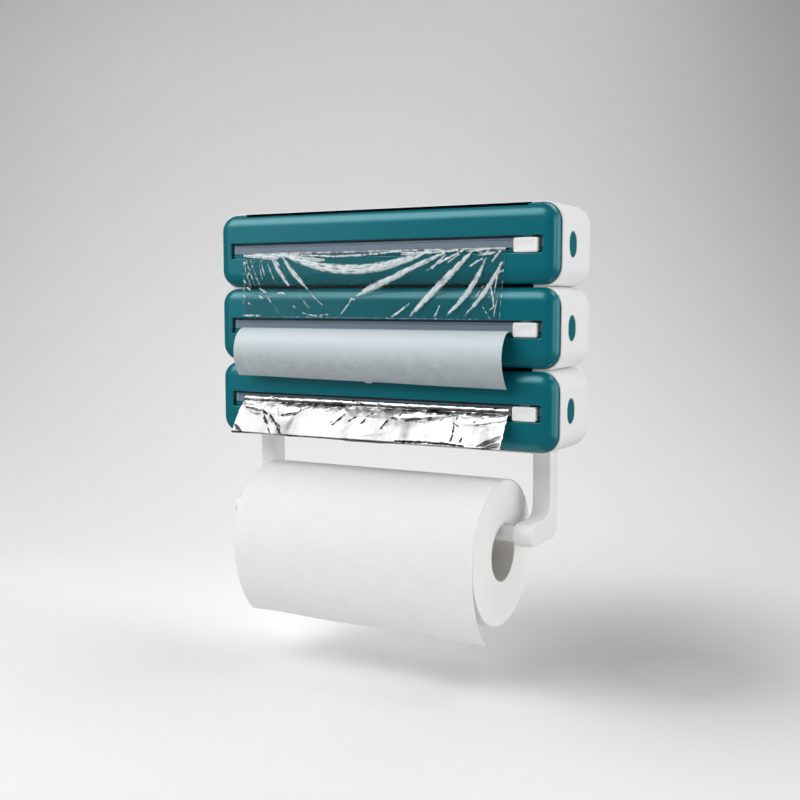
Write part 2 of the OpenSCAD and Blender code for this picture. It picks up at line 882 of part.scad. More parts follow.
module arm() {
    color(white)
        difference() {
            union() {
                along_x(arm_in, arm_out)
                    arm_outline();
                block([arm_in - arm_flange_lip, arm_front - arm_flange_lip, stack_bottom - arm_flange_h],
                    [arm_out + arm_flange_lip, arm_back + arm_flange_lip, stack_bottom]);
            }
            rod_x(arm_in - cut, arm_in + peg_bore_l, -peg_y, peg_z, peg_bore_d / 2);
            for (s = sides)
                translate([arm_mid_x, arm_mid_y + s * arm_screw_span / 2, stack_bottom - arm_screw_l])
                    cylinder(h = arm_screw_l + cut, d = screw_d + 2 * running_clear);
        }
}

module right_arm() {
    arm();
}

module left_arm() {
    mirror([1, 0, 0])
        arm();
}

module arm_screws() {
    color(steel)
        for (side = sides, s = sides)
            translate([side * arm_mid_x, arm_mid_y + s * arm_screw_span / 2, stack_bottom + shell_wall])
                screw(arm_screw_l);
}

// Hollow peg with a flange that its collar keeps in the arm.
module peg() {
    color(white)
        difference() {
            union() {
                rod_x(peg_tip, peg_flange_x + cut, -peg_y, peg_z, peg_d / 2);
                rod_x(peg_flange_x, peg_flange_x + peg_flange_t, -peg_y, peg_z,
                    peg_bore_d / 2 - 2 * running_clear);
            }
            rod_x(peg_tip + peg_end_t, peg_flange_x + peg_flange_t + cut, -peg_y, peg_z, peg_hollow_r);
        }
}

module right_peg() {
    peg();
}

module left_peg() {
    mirror([1, 0, 0])
        peg();
}

module peg_springs() {
    color(steel)
        both_ends()
            spring_sleeve(peg_tip + peg_end_t, arm_in + peg_bore_l, -peg_y, peg_z, peg_spring_d);
}

module peg_collars() {
    color(white)
        both_ends()
            difference() {
                rod_x(arm_in, arm_in + collar_l, -peg_y, peg_z, peg_bore_d / 2 - running_clear);
                rod_x(arm_in - cut, arm_in + collar_l + cut, -peg_y, peg_z, peg_d / 2 + running_clear);
            }
}

// A tube of the kitchen paper roll.
module towel_tube(outside_r, inside_r) {
    difference() {
        rod_x(towel_left, towel_right, -peg_y, towel_z, outside_r);
        rod_x(towel_left - cut, towel_right + cut, -peg_y, towel_z, inside_r);
    }
}

module towel_core() {
    color(card)
        towel_tube(towel_core_r, towel_core_d / 2);
}

module towel_roll() {
    color(towel_white)
        towel_tube(towel_d / 2, towel_core_r + core_fit);
}

// Loose end that leaves the roll's front and curls back below it.
module towel_tail() {
    start = [-peg_y - towel_d / 2 - sheet_clear, towel_z];
    end = [towel_tail_back, -towel_tail_drop];
    bends = [for (bend = towel_bend) start + [bend[0] * end[0], bend[1] * end[1]]];
    tail = concat([start], bends, [start + end]);
    color(towel_white)
        along_x(towel_left, towel_right)
            polygon(band(curve(tail), sheet_t));
}

for (t = [0:2]) {
    shell(t);
    cover(t);
    latch_tongues(t);
    cutter_rail(t);
    rail_end_caps(t);
    cutter_slider(t);
    cutter_blade(t);
    roll_core(t);
    roll_hubs(t);
    end_brackets(t);
    button_right(t);
    button_left(t);
    sheet_roll(t);
    sheet_lead(t);
    sheet_tail(t);
}
hinge_pins();
button_springs();
latch_catches();
stacking_screws();
stacking_nuts();
left_arm();
right_arm();
left_peg();
right_peg();
peg_springs();
peg_collars();
towel_core();
towel_roll();
towel_tail();
arm_screws();
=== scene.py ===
"""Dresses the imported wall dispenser: moulded plastic, cling film, parchment, foil and kitchen paper."""

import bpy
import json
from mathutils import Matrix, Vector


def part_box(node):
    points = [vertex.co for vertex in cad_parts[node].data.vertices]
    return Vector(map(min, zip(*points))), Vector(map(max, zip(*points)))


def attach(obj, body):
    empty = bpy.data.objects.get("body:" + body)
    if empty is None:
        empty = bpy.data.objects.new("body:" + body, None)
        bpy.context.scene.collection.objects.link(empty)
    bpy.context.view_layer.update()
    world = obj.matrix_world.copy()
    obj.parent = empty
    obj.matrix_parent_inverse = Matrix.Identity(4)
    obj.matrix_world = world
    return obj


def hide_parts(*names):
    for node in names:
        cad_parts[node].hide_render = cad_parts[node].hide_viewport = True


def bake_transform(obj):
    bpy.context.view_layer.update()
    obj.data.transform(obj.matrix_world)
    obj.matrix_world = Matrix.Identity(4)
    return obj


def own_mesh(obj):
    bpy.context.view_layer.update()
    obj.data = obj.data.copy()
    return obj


bl_info = {
    "name": "Wall dispenser dressing",
    "version": (1, 0, 0),
    "blender": (4, 5, 0),
    "location": "View3D > Sidebar > Dispenser",
    "description": "Builds the visible pieces of a three-tier roll dispenser around its packed frame",
    "category": "Object",
}

import json
import math

import bmesh
import bpy
import numpy as np
from mathutils import Vector, noise

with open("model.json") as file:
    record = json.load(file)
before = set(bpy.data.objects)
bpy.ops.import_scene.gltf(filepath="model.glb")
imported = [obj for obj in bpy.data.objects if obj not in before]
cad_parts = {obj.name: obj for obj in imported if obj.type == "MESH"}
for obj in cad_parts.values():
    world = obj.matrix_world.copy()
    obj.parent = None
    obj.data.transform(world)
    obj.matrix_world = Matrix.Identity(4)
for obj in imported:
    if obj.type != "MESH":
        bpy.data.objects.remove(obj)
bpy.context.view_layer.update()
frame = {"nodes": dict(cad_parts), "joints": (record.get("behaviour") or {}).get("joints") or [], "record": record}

MM = 0.001
TIERS = (("top", "film"), ("middle", "paper"), ("bottom", "foil"))
SIDES = (("right", 1), ("left", -1))
SHEET_SLOT = {"film": "cling_film", "paper": "parchment", "foil": "foil"}
FINISHES = {}


def length(name, description, mm):
    """A size in millimetres as a Blender length."""
    return bpy.props.FloatProperty(
        name=name, description=description, default=mm * MM, unit="LENGTH", precision=5)


def colour(name, description, rgb):
    """A linear colour."""
    return bpy.props.FloatVectorProperty(
        name=name, description=description, default=rgb, size=3, subtype="COLOR", min=0, max=1)


class DispenserSizes(bpy.types.PropertyGroup):
    """Sizes of the moulded pieces and sheets."""

    shell_corner: length("Shell corner", "Corner radius of a shell seen from the front", 19)
    shell_back_edge: length("Shell back edge", "Radius of a shell's back edges", 12)
    shell_wall: length("Shell wall", "Thickness of a shell's side walls", 1.6)
    back_wall: length("Back panel", "Thickness of a shell's back panel", 2.4)
    rim_round: length("Rim rounding", "Rounding of the outside of a shell's front rim", 0.3)
    rim_ease: length("Rim easing", "Rounding of the inside of a shell's front rim", 0.5)
    cover_corner: length("Cover corner", "Corner radius of a cover seen from the front", 17)
    cover_edge: length("Cover edge", "Width of a cover's rounded front edge", 13.5)
    cover_wall: length("Cover wall", "Thickness of a cover", 2)
    cover_rise: length("Cover rise", "How far a lower cover's top edge stands up before the rim", 1.3)
    top_rise: length("Top cover rise", "The same for the top cover, level with its shell", 0.1)
    cover_lap: length("Cover lap", "How far a cover's skirt reaches behind the rim", 3)
    slot_margin: length("Slot margin", "Distance between the shell's end and the slot's end", 18)
    slot_top: length("Slot top", "Height of the slot's top edge above the tier's centre", 7.5)
    slot_lip: length("Slot lip", "Depth of the slot's lip below the tier's centre", 8.6)
    slot_extra: length("Slot extra", "How far the slot runs on at its right end", 2)
    slot_round: length("Slot rounding", "Rounding of the slot's edges", 0.9)
    finger_margin: length("Finger gap margin", "Distance between the shell's end and the finger gap", 31)
    finger_height: length("Finger gap height", "Height of the finger gap in the top cover's edge", 2)
    finger_depth: length("Finger gap depth", "How far the gaps reach behind the rims", 10)
    gap_margin: length("Gap margin", "Distance between the shell's end and a gap between tiers", 28.4)
    gap_relief: length("Gap relief", "Thickness that the top rim keeps above the finger gap", 0.6)
    shell_grow: length("Shell growth", "How far the shells are drawn towards each other", 0.08)
    finger_slant: length("Finger gap slant", "How far the finger gap's ends slant", 3)
    screw_hole: length("Wall screw hole", "Diameter of the holes in the back panels", 5)
    rail_recess: length("Rail recess", "Distance of the rail's face behind the cover", 2.2)
    rail_depth: length("Rail depth", "Thickness of the rail's face", 4)
    rail_height: length("Rail height", "Height of the rail's face", 9.6)
    rail_web: length("Rail web", "Thickness of the rail's web and flange", 2)
    cutter_round: length("Cutter rounding", "Rounding of the slide cutter's edges", 1.3)
    dish_radius: length("Dish radius", "Radius of the slide cutter's thumb dish", 56)
    dish_depth: length("Dish depth", "Depth of the thumb dish", 1.3)
    button_round: length("Button rounding", "Rounding of a button's edge", 1.1)
    button_gap: length("Button gap", "Gap between a button and its hole", 0.3)
    coil_wire: length("Coil wire", "Thickness of the springs' wire", 0.8)
    arm_round: length("Arm rounding", "Rounding of an arm's edges", 2.2)
    film_thickness: length("Film thickness", "Thickness of the modelled film", 0.12)
    sheet_thickness: length("Sheet thickness", "Thickness of the modelled parchment and foil", 0.2)
    paper_thickness: length("Kitchen paper thickness", "Thickness of the loose kitchen paper", 0.35)
    emboss_pitch: length("Emboss pitch", "Distance between the kitchen paper's dots", 4.6)
    emboss_depth: length("Emboss depth", "Depth of the kitchen paper's dots", 0.16)


class DispenserColours(bpy.types.PropertyGroup):
    """Base colours of the finishes."""

    teal: colour("Teal", "Covers and buttons", (0.0006, 0.134, 0.171))
    white: colour("White", "Shells, arms and slide cutters", (0.86, 0.87, 0.86))
    rail: colour("Rail grey", "Cutter rails", (0.190, 0.245, 0.310))
    pale: colour("Pale blue", "Hubs and rail caps", (0.26, 0.40, 0.46))
    card: colour("Card", "Cardboard cores", (0.82, 0.80, 0.755))
    film: colour("Film", "Cling film", (0.86, 0.93, 0.94))
    parchment: colour("Parchment", "Baking parchment", (0.62, 0.69, 0.72))
    foil: colour("Foil", "Aluminium foil", (0.80, 0.805, 0.81))
    kitchen_paper: colour("Kitchen paper", "Kitchen paper", (0.88, 0.88, 0.87))
    steel: colour("Steel", "Blades, springs and screws", (0.58, 0.59, 0.61))
    # Painted shade: a near-black colour that stands in for the shade inside the finger gaps.
    gap_shade: colour("Lining", "Inside of the finger gaps", (0.006, 0.012, 0.015))
    floor: colour("Floor", "Floor and backdrop", (0.92, 0.92, 0.92))


def sizes():
    return bpy.context.scene.dispenser_sizes


def colours():
    return bpy.context.scene.dispenser_colours


def joint_point(name):
    """Where a joint's axis lies at rest."""
    joint = next(j for j in frame["joints"] if j["name"] == name)
    return Vector(joint["pos_m"])


def tier_height(tier):
    low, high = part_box(f"{tier}_shell")
    return (low.z + high.z) / 2


# Finishes


class Finish:
    """A node material with a short way to add and link its nodes."""

    def __init__(self, name):
        self.material = bpy.data.materials.new(name)
        self.material.use_nodes = True
        self.nodes = self.material.node_tree.nodes
        self.links = self.material.node_tree.links
        self.shader = self.nodes["Principled BSDF"]
        self.place = self.add("ShaderNodeTexCoord").outputs["Object"]

    def add(self, kind, **inputs):
        node = self.nodes.new(kind)
        for key, value in inputs.items():
            node.inputs[key.replace("_", " ")].default_value = value
        return node

    def join(self, output, socket):
        self.links.new(output, socket)

    def set(self, **inputs):
        for key, value in inputs.items():
            self.shader.inputs[key.replace("_", " ")].default_value = value

    def noise(self, scale, detail=2.0, stretch=(1, 1, 1)):
        mapping = self.add("ShaderNodeMapping", Scale=stretch)
        cloud = self.add("ShaderNodeTexNoise", Scale=scale, Detail=detail)
        self.join(self.place, mapping.inputs["Vector"])
        self.join(mapping.outputs["Vector"], cloud.inputs["Vector"])
        return cloud.outputs["Fac"]

    def mark(self, name):
        """A value that is kept on the points of a mesh."""
        kept = self.add("ShaderNodeAttribute")
        kept.attribute_name = name
        return kept.outputs["Fac"]

    def tint(self, source, low, high, start=0.35, stop=0.65):
        """Base colour that runs from low to high with the source."""
        ramp = self.add("ShaderNodeValToRGB")
        ramp.color_ramp.elements[0].position = start
        ramp.color_ramp.elements[1].position = stop
        ramp.color_ramp.elements[0].color = (*low, 1)
        ramp.color_ramp.elements[1].color = (*high, 1)
        self.join(source, ramp.inputs["Fac"])
        self.join(ramp.outputs["Color"], self.shader.inputs["Base Color"])

    def spread(self, source, socket, low, high, start=0.3, stop=0.7):
        """A shader value that runs from low to high with the source."""
        span = self.add("ShaderNodeMapRange", From_Min=start, From_Max=stop, To_Min=low, To_Max=high)
        self.join(source, span.inputs["Value"])
        self.join(span.outputs["Result"], self.shader.inputs[socket])

    def relief(self, source, strength, depth):
        """A bump on top of the bumps that the finish already has."""
        bump = self.add("ShaderNodeBump", Strength=strength, Distance=depth)
        self.join(source, bump.inputs["Height"])
        socket = self.shader.inputs["Normal"]
        if socket.is_linked:
            self.join(socket.links[0].from_socket, bump.inputs["Normal"])
        self.join(bump.outputs["Normal"], socket)


def shade_of(rgb, factor):
    return tuple(min(1, c * factor) for c in rgb)


def moulded(name, rgb, roughness, grain_depth):
    """Moulded plastic: faint flow marks, uneven gloss and a fine grain."""
    finish = Finish(name)
    finish.tint(finish.noise(6, 1), shade_of(rgb, 0.992), shade_of(rgb, 1.008), 0, 1)
    finish.spread(finish.noise(12, 1), "Roughness", roughness - 0.01, roughness + 0.01, 0, 1)
    finish.relief(finish.noise(2200, 2), 0.20, grain_depth)
    return finish


def metal(name, rgb, roughness, stretch):
    """Drawn or ground metal with fine lines along one direction."""
    finish = Finish(name)
    finish.set(Metallic=1.0)
    finish.tint(finish.noise(90, 3), shade_of(rgb, 0.92), shade_of(rgb, 1.05))
    finish.spread(finish.noise(700, 4, stretch), "Roughness", roughness - 0.06, roughness + 0.10)
    finish.relief(finish.noise(1500, 3, stretch), 0.20, 0.00005)
    return finish


def make_teal():
    finish = moulded("glossy_teal", tuple(colours().teal), 0.27, 0.000004)
    finish.set(Specular_IOR_Level=0.72, Specular_Tint=(0.5, 0.95, 1, 1))
    return finish


def make_white():
    return moulded("satin_white", tuple(colours().white), 0.42, 0.00002)


# Painted shade for the faces inside the finger gaps.
def make_painted_gap_shade():
    return moulded("painted_gap_shade", tuple(colours().gap_shade), 0.7, 0.00002)


def make_rail():
    finish = moulded("rail_grey", tuple(colours().rail), 0.36, 0.00002)
    finish.relief(finish.noise(420, 3, (0.02, 1, 1)), 0.30, 0.00010)
    return finish


def make_pale():
    return moulded("pale_satin", tuple(colours().pale), 0.42, 0.00003)


def make_blade():
    return metal("ground_blade", tuple(colours().steel), 0.24, (0.05, 1, 1))


def make_spring():
    return metal("zinc_plated_steel", tuple(colours().steel), 0.34, (1, 0.2, 1))


def make_card():
    """Spiral-wound card: soft fibres and broad bands across the tube."""
    rgb = tuple(colours().card)
    finish = Finish("spiral_card")
    finish.tint(finish.noise(30, 5, (0.4, 1, 1)), shade_of(rgb, 0.88), shade_of(rgb, 1.08))
    finish.set(Roughness=0.92)
    finish.relief(finish.noise(900, 5), 0.45, 0.00015)
    return finish


def make_film():
    """Clear film with painted highlights: white and more opaque along its creases, and tinted dark where it is
    clear.
    """
    finish = Finish("cling_film")
    finish.set(Roughness=0.14, IOR=1.5)
    crease = finish.mark("crease")
    finish.tint(crease, (0.05, 0.09, 0.085), tuple(colours().film), 0.0, 0.3)
    cover = finish.add("ShaderNodeMath")
    cover.operation = "MULTIPLY_ADD"
    cover.use_clamp = True
    cover.inputs[1].default_value = 0.66
    cover.inputs[2].default_value = 0.085
    finish.join(crease, cover.inputs[0])
    finish.join(cover.outputs["Value"], finish.shader.inputs["Alpha"])
    finish.relief(finish.noise(420, 4, (0.5, 1, 1)), 0.20, 0.0003)
    return finish


def make_wound_film():
    """Film in many layers, which looks milky."""
    rgb = tuple(colours().film)
    finish = Finish("wound_film")
    finish.tint(finish.noise(40, 3, (0.1, 1, 1)), shade_of(rgb, 0.72), shade_of(rgb, 0.86))
    finish.set(Roughness=0.16, Coat_Weight=0.5, Coat_Roughness=0.08)
    finish.relief(finish.noise(300, 3, (0.05, 1, 1)), 0.25, 0.0002)
    return finish


def make_parchment():
    """Silicone paper: thin and cloudy, with painted shade that greys its lower part."""
    rgb = tuple(colours().parchment)
    finish = Finish("parchment")
    finish.tint(finish.mark("crease"), rgb, shade_of(rgb, 0.62), 0.0, 1.0)
    finish.spread(finish.noise(240, 4), "Roughness", 0.48, 0.62)
    finish.set(Subsurface_Weight=0.08, Subsurface_Radius=(0.002, 0.002, 0.002))
    finish.relief(finish.noise(1400, 5), 0.20, 0.00010)
    return finish


def make_foil():
    """Bright rolled foil with faint rolling lines; painted shade and painted reflection tone darken it in its
    folds, facets and curled edge.
    """
    rgb = tuple(colours().foil)
    finish = Finish("rolled_foil")
    finish.set(Metallic=1.0)
    finish.tint(finish.mark("crease"), rgb, shade_of(rgb, 0.03), 0.0, 0.75)
    finish.spread(finish.noise(300, 4, (1, 0.05, 0.05)), "Roughness", 0.30, 0.40)
    finish.relief(finish.noise(900, 3, (1, 0.06, 0.06)), 0.10, 0.00004)
    return finish


def make_kitchen_paper():
    """Soft tissue: matt, with fibres and a light bloom."""
    rgb = tuple(colours().kitchen_paper)
    finish = Finish("kitchen_paper")
    finish.tint(finish.noise(90, 5), shade_of(rgb, 0.99), shade_of(rgb, 1.01))
    finish.set(Roughness=0.95, Sheen_Weight=0.25, Sheen_Roughness=0.5)
    finish.relief(finish.noise(1100, 6, (0.6, 1, 1)), 0.55, 0.00025)
    return finish


MAKERS = {
    "teal_plastic": make_teal,
    "white_plastic": make_white,
    "painted_gap_shade": make_painted_gap_shade,
    "rail_grey": make_rail,
    "pale_plastic": make_pale,
    "blade_steel": make_blade,
    "spring_steel": make_spring,
    "core_card": make_card,
    "cling_film": make_film,
    "wound_film": make_wound_film,
    "parchment": make_parchment,
    "foil": make_foil,
    "kitchen_paper": make_kitchen_paper,
}


def finish_of(name):
    """The material of a finish, made when it is first needed."""
    if name not in FINISHES:
        FINISHES[name] = MAKERS[name]().material
    return FINISHES[name]


# Meshes


def rounded_outline(half_w, half_h, radius, steps=10):
    """Points round a rounded rectangle, anticlockwise from its lower right corner."""
    points = []
    corners = ((1, -1, -90), (1, 1, 0), (-1, 1, 90), (-1, -1, 180))
    for sx, sy, start in corners:
        for i in range(steps + 1):
            a = math.radians(start + 90 * i / steps)
            points.append((sx * (half_w - radius) + radius * math.cos(a),
                           sy * (half_h - radius) + radius * math.sin(a)))
    return points


def quarter(steps=8):
    """Sines and cosines of a quarter turn."""
    return [(math.sin(a), math.cos(a)) for a in np.linspace(0, math.pi / 2, steps + 1)]


def add_loft(bm, rings, closed=False):
    """Skins rings of points in order. A closed loft joins its last ring to its first, with no ends."""
    made = [[bm.verts.new(p) for p in ring] for ring in rings]
    pairs = list(zip(made, made[1:]))
    if closed:
        pairs.append((made[-1], made[0]))
    for a, b in pairs:
        for i in range(len(a)):
            j = (i + 1) % len(a)
            bm.faces.new((a[i], a[j], b[j], b[i]))
    if not closed:
        bm.faces.new(made[0])
        bm.faces.new(made[-1])


def solid(name, lofts, closed=False):
    """An object made of lofts, with its faces turned outwards."""
    bm = bmesh.new()
    for rings in lofts:
        add_loft(bm, rings, closed)
    bmesh.ops.recalc_face_normals(bm, faces=bm.faces)
    mesh = bpy.data.meshes.new(name)
    bm.to_mesh(mesh)
    bm.free()
    return show(name, mesh)


def show(name, mesh):
    thing = bpy.data.objects.new(name, mesh)
    bpy.context.scene.collection.objects.link(thing)
    return thing


def carve(thing, cutters):
    """Cuts each cutter out of a piece and removes it."""
    for cutter in cutters:
        cut = thing.modifiers.new("cut", "BOOLEAN")
        cut.operation = "DIFFERENCE"
        cut.solver = "EXACT"
        cut.object = cutter
    ready = thing.evaluated_get(bpy.context.evaluated_depsgraph_get())
    mesh = bpy.data.meshes.new_from_object(ready)
    old = thing.data
    thing.modifiers.clear()
    thing.data = mesh
    mesh.name = old.name
    bpy.data.meshes.remove(old)
    for cutter in cutters:
        old = cutter.data
        bpy.data.objects.remove(cutter)
        bpy.data.meshes.remove(old)


def dress(thing, finish, body, nodes, crease=40):
    """Shades a piece, gives it its finish and ties it to the frame."""
    thing.data.materials.clear()
    thing.data.materials.append(finish_of(finish))
    thing.data.shade_smooth()
    thing.data.set_sharp_from_angle(angle=math.radians(crease))
    even = thing.modifiers.new("even_shading", "WEIGHTED_NORMAL")
    even.keep_sharp = True
    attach(thing, body)
    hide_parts(*nodes)
    return thing


def box_rings(rings, corner, half_w, half_h, z, steps=10):
    """Rings of a rounded box that faces the front, each given by its inset and its depth."""
    made = []
    for inset, y in rings:
        outline = rounded_outline(half_w - inset, half_h - inset, max(corner - inset, 0.2 * MM), steps)
        made.append([(x, y, z + up) for x, up in outline])
    return made


def end_rings(rings, half_w, half_h, y, z, radius, steps=12):
    """Rings of a rounded prism that points along X, each given by its growth and its place."""
    made = []
    for grow, x in rings:
        outline = rounded_outline(half_w + grow, half_h + grow, radius + grow, steps)
        made.append([(x, y + across, z + up) for across, up in outline])
    return made


def turned(profile, y, z, steps=48, shape=None):
    """Rings of a body turned about an axis along X, from points of place and radius."""
    made = []
    for x, r in profile:
        ring = []
        for i in range(steps):
            a = 2 * math.pi * i / steps
            grown = r + (shape(x, a, r) if shape else 0)
            ring.append((x, y + grown * math.sin(a), z + grown * math.cos(a)))
        made.append(ring)
    return made


def coil_rings(start, end, y, z, radius, wire, turns, steps=18, sides=8):
    """Rings along a helix whose axis runs along X."""
    count = int(turns * steps)
    points = []
    for i in range(count + 1):
        a = 2 * math.pi * turns * i / count
        x = start + (end - start) * i / count
        points.append(Vector((x, y + radius * math.sin(a), z + radius * math.cos(a))))
    made = []
    for i, p in enumerate(points):
        run = (points[min(i + 1, count)] - points[max(i - 1, 0)]).normalized()
        out = Vector((0, p.y - y, p.z - z)).normalized()
        side = run.cross(out).normalized()
        angles = [2 * math.pi * k / sides for k in range(sides)]
        made.append([p + wire / 2 * (math.cos(a) * out + math.sin(a) * side) for a in angles])
    return made


# Sheets


def bezier(points, count=24):
    """Points along a cubic curve."""
    p = [np.array(q, float) for q in points]
    made = []
    for t in np.linspace(0, 1, count + 1):
        start, end = (1 - t) ** 3 * p[0], t ** 3 * p[3]
        made.append(start + 3 * (1 - t) ** 2 * t * p[1] + 3 * (1 - t) * t * t * p[2] + end)
    return made


def even_path(points, count):
    """The path's points again, evenly spaced, and its length."""
    path = np.array(points, float)
    steps = np.linalg.norm(np.diff(path, axis=0), axis=1)
    run = np.concatenate([[0], np.cumsum(steps)])
    at = np.linspace(0, run[-1], count + 1)
    return np.stack([np.interp(at, run, path[:, 0]), np.interp(at, run, path[:, 1])], axis=1), run[-1]


class Sheet:
    """A sheet that follows a path in Y and Z and is as wide as its solid along X."""

    def __init__(self, path, left, right, across, along):
        self.path, self.length = even_path(path, along)
        self.left, self.right = left, right
        self.u = np.linspace(0, 1, across + 1)
        self.v = np.linspace(0, 1, along + 1)
        run = np.gradient(self.path, axis=0)
        run /= np.linalg.norm(run, axis=1)[:, None]
        self.out = np.stack([run[:, 1], -run[:, 0]], axis=1)
        self.run = run
        self.uu, self.vv = np.meshgrid(self.u, self.v)
        self.lift = np.zeros_like(self.uu)
        self.slide = np.zeros_like(self.uu)
        self.sway = np.zeros_like(self.uu)

    @property
    def width(self):
        return self.right - self.left

    def points(self):
        """Each point's place: along the path, lifted off its face, slid down and swayed sideways."""
        x = self.left + self.uu * self.width + self.sway
        y = self.path[:, 0, None] + self.lift * self.out[:, 0, None] + self.slide * self.run[:, 0, None]
        z = self.path[:, 1, None] + self.lift * self.out[:, 1, None] + self.slide * self.run[:, 1, None]
        return np.stack([x, y, z], axis=2).reshape(-1, 3)

    def build(self, name, thickness, marks=None):
        """The sheet as a thin closed mesh, with its painted light and shade kept as a value on its points."""
        across, along = len(self.u), len(self.v)
        first = np.arange(across * along).reshape(along, across)
        corners = [first[:-1, :-1], first[:-1, 1:], first[1:, 1:], first[1:, :-1]]
        quads = np.stack(corners, axis=2).reshape(-1, 4)
        mesh = bpy.data.meshes.new(name)
        mesh.from_pydata(self.points().tolist(), [], quads.tolist())
        if marks is not None:
            kept = mesh.attributes.new("crease", "FLOAT", "POINT")
            kept.data.foreach_set("value", marks.reshape(-1).astype(np.float32))
        thing = show(name, mesh)
        skin = thing.modifiers.new("skin", "SOLIDIFY")
        skin.thickness = thickness
        skin.offset = 0
        ready = thing.evaluated_get(bpy.context.evaluated_depsgraph_get())
        thick = bpy.data.meshes.new_from_object(ready)
        thing.modifiers.clear()
        thing.data = thick
        bpy.data.meshes.remove(mesh)
        thick.name = name
        return thing


def clouds(uu, vv, scale_u, scale_v, seed):
    """Smooth noise over a sheet, from about -1 to 1."""
    points = zip((uu * scale_u).ravel(), (vv * scale_v).ravel())
    return np.array([noise.noise((a, b, seed)) for a, b in points]).reshape(uu.shape)


def crumple(across, along, cell, seed):
    """Flat facets that meet in sharp folds: heights on a loose grid, joined by triangles."""
    rng = np.random.default_rng(seed)
    a, b = across / cell, along / cell
    a, b = a - a.min(), b - b.min()
    heights = rng.uniform(-1, 1, (int(b.max()) + 3, int(a.max()) + 3))
    flips = rng.uniform(0, 1, heights.shape) < 0.5
    i, j = np.floor(b).astype(int), np.floor(a).astype(int)
    s, t = a - j, b - i
    h00, h01 = heights[i, j], heights[i, j + 1]
    h10, h11 = heights[i + 1, j], heights[i + 1, j + 1]
    rising = np.where(s + t < 1, h00 + s * (h01 - h00) + t * (h10 - h00),
                      h11 + (1 - s) * (h10 - h11) + (1 - t) * (h01 - h11))
    falling = np.where(s > t, h00 + s * (h01 - h00) + t * (h11 - h01),
                       h00 + t * (h10 - h00) + s * (h11 - h10))
    return np.where(flips[i, j], rising, falling)


def stroke_field(sheet, strokes, rough=0.0, seed=1, streaks=0.0, lean=False):
    """How strongly each point lies on a stroke, each given by its ends, bow, width and strength.

    Leaning strokes have one sharp side and fade towards the other.
    """
    x, d = sheet.uu * sheet.width, sheet.vv * sheet.length
    ragged = rough * clouds(x / MM, d / MM, 0.3, 0.3, seed) * MM if rough else 0
    field = np.zeros_like(x)
    for k, (u0, v0, u1, v1, bow, width, strength) in enumerate(strokes):
        ends = np.array([[u0 * sheet.width, v0 * sheet.length], [u1 * sheet.width, v1 * sheet.length]])
        run = ends[1] - ends[0]
        span = np.linalg.norm(run)
        side = np.array([-run[1], run[0]]) / span
        nearest = np.full_like(x, 9.0)
        place, across = np.zeros_like(x), np.zeros_like(x)
        for t in np.linspace(0, 1, max(61, int(span / MM))):
            q = ends[0] + run * t + side * bow * MM * 4 * t * (1 - t)
            gap = np.hypot(x - q[0], d - q[1])
            closer = gap < nearest
            nearest = np.where(closer, gap, nearest)
            place = np.where(closer, t, place)
            across = np.where(closer, (x - q[0]) * side[0] + (d - q[1]) * side[1], across)
        half = width * MM / 2 * np.sqrt(np.clip(np.sin(math.pi * place), 0.02, 1))
        if lean:
            nearest = np.where(across > 0, nearest * 0.55, nearest * 1.8)
        shape = np.clip((1.25 if lean else 1.7) * (1 - (nearest + ragged) / half), 0, 1)
        if streaks:
            on = shape > 0
            lines = zip(across[on] / (1.3 * MM), place[on] * span / (9 * MM))
            grain = np.array([noise.noise((a, b, seed + k)) for a, b in lines])
            shape[on] *= np.clip(1 - streaks + streaks * (0.75 + 1.7 * grain), 0.12, 1)
        field = np.maximum(field, strength * shape)
    return field


# Pieces


class PieceOperator(bpy.types.Operator):
    """Common settings of the dispenser's operators."""

    bl_options = {"REGISTER", "UNDO"}


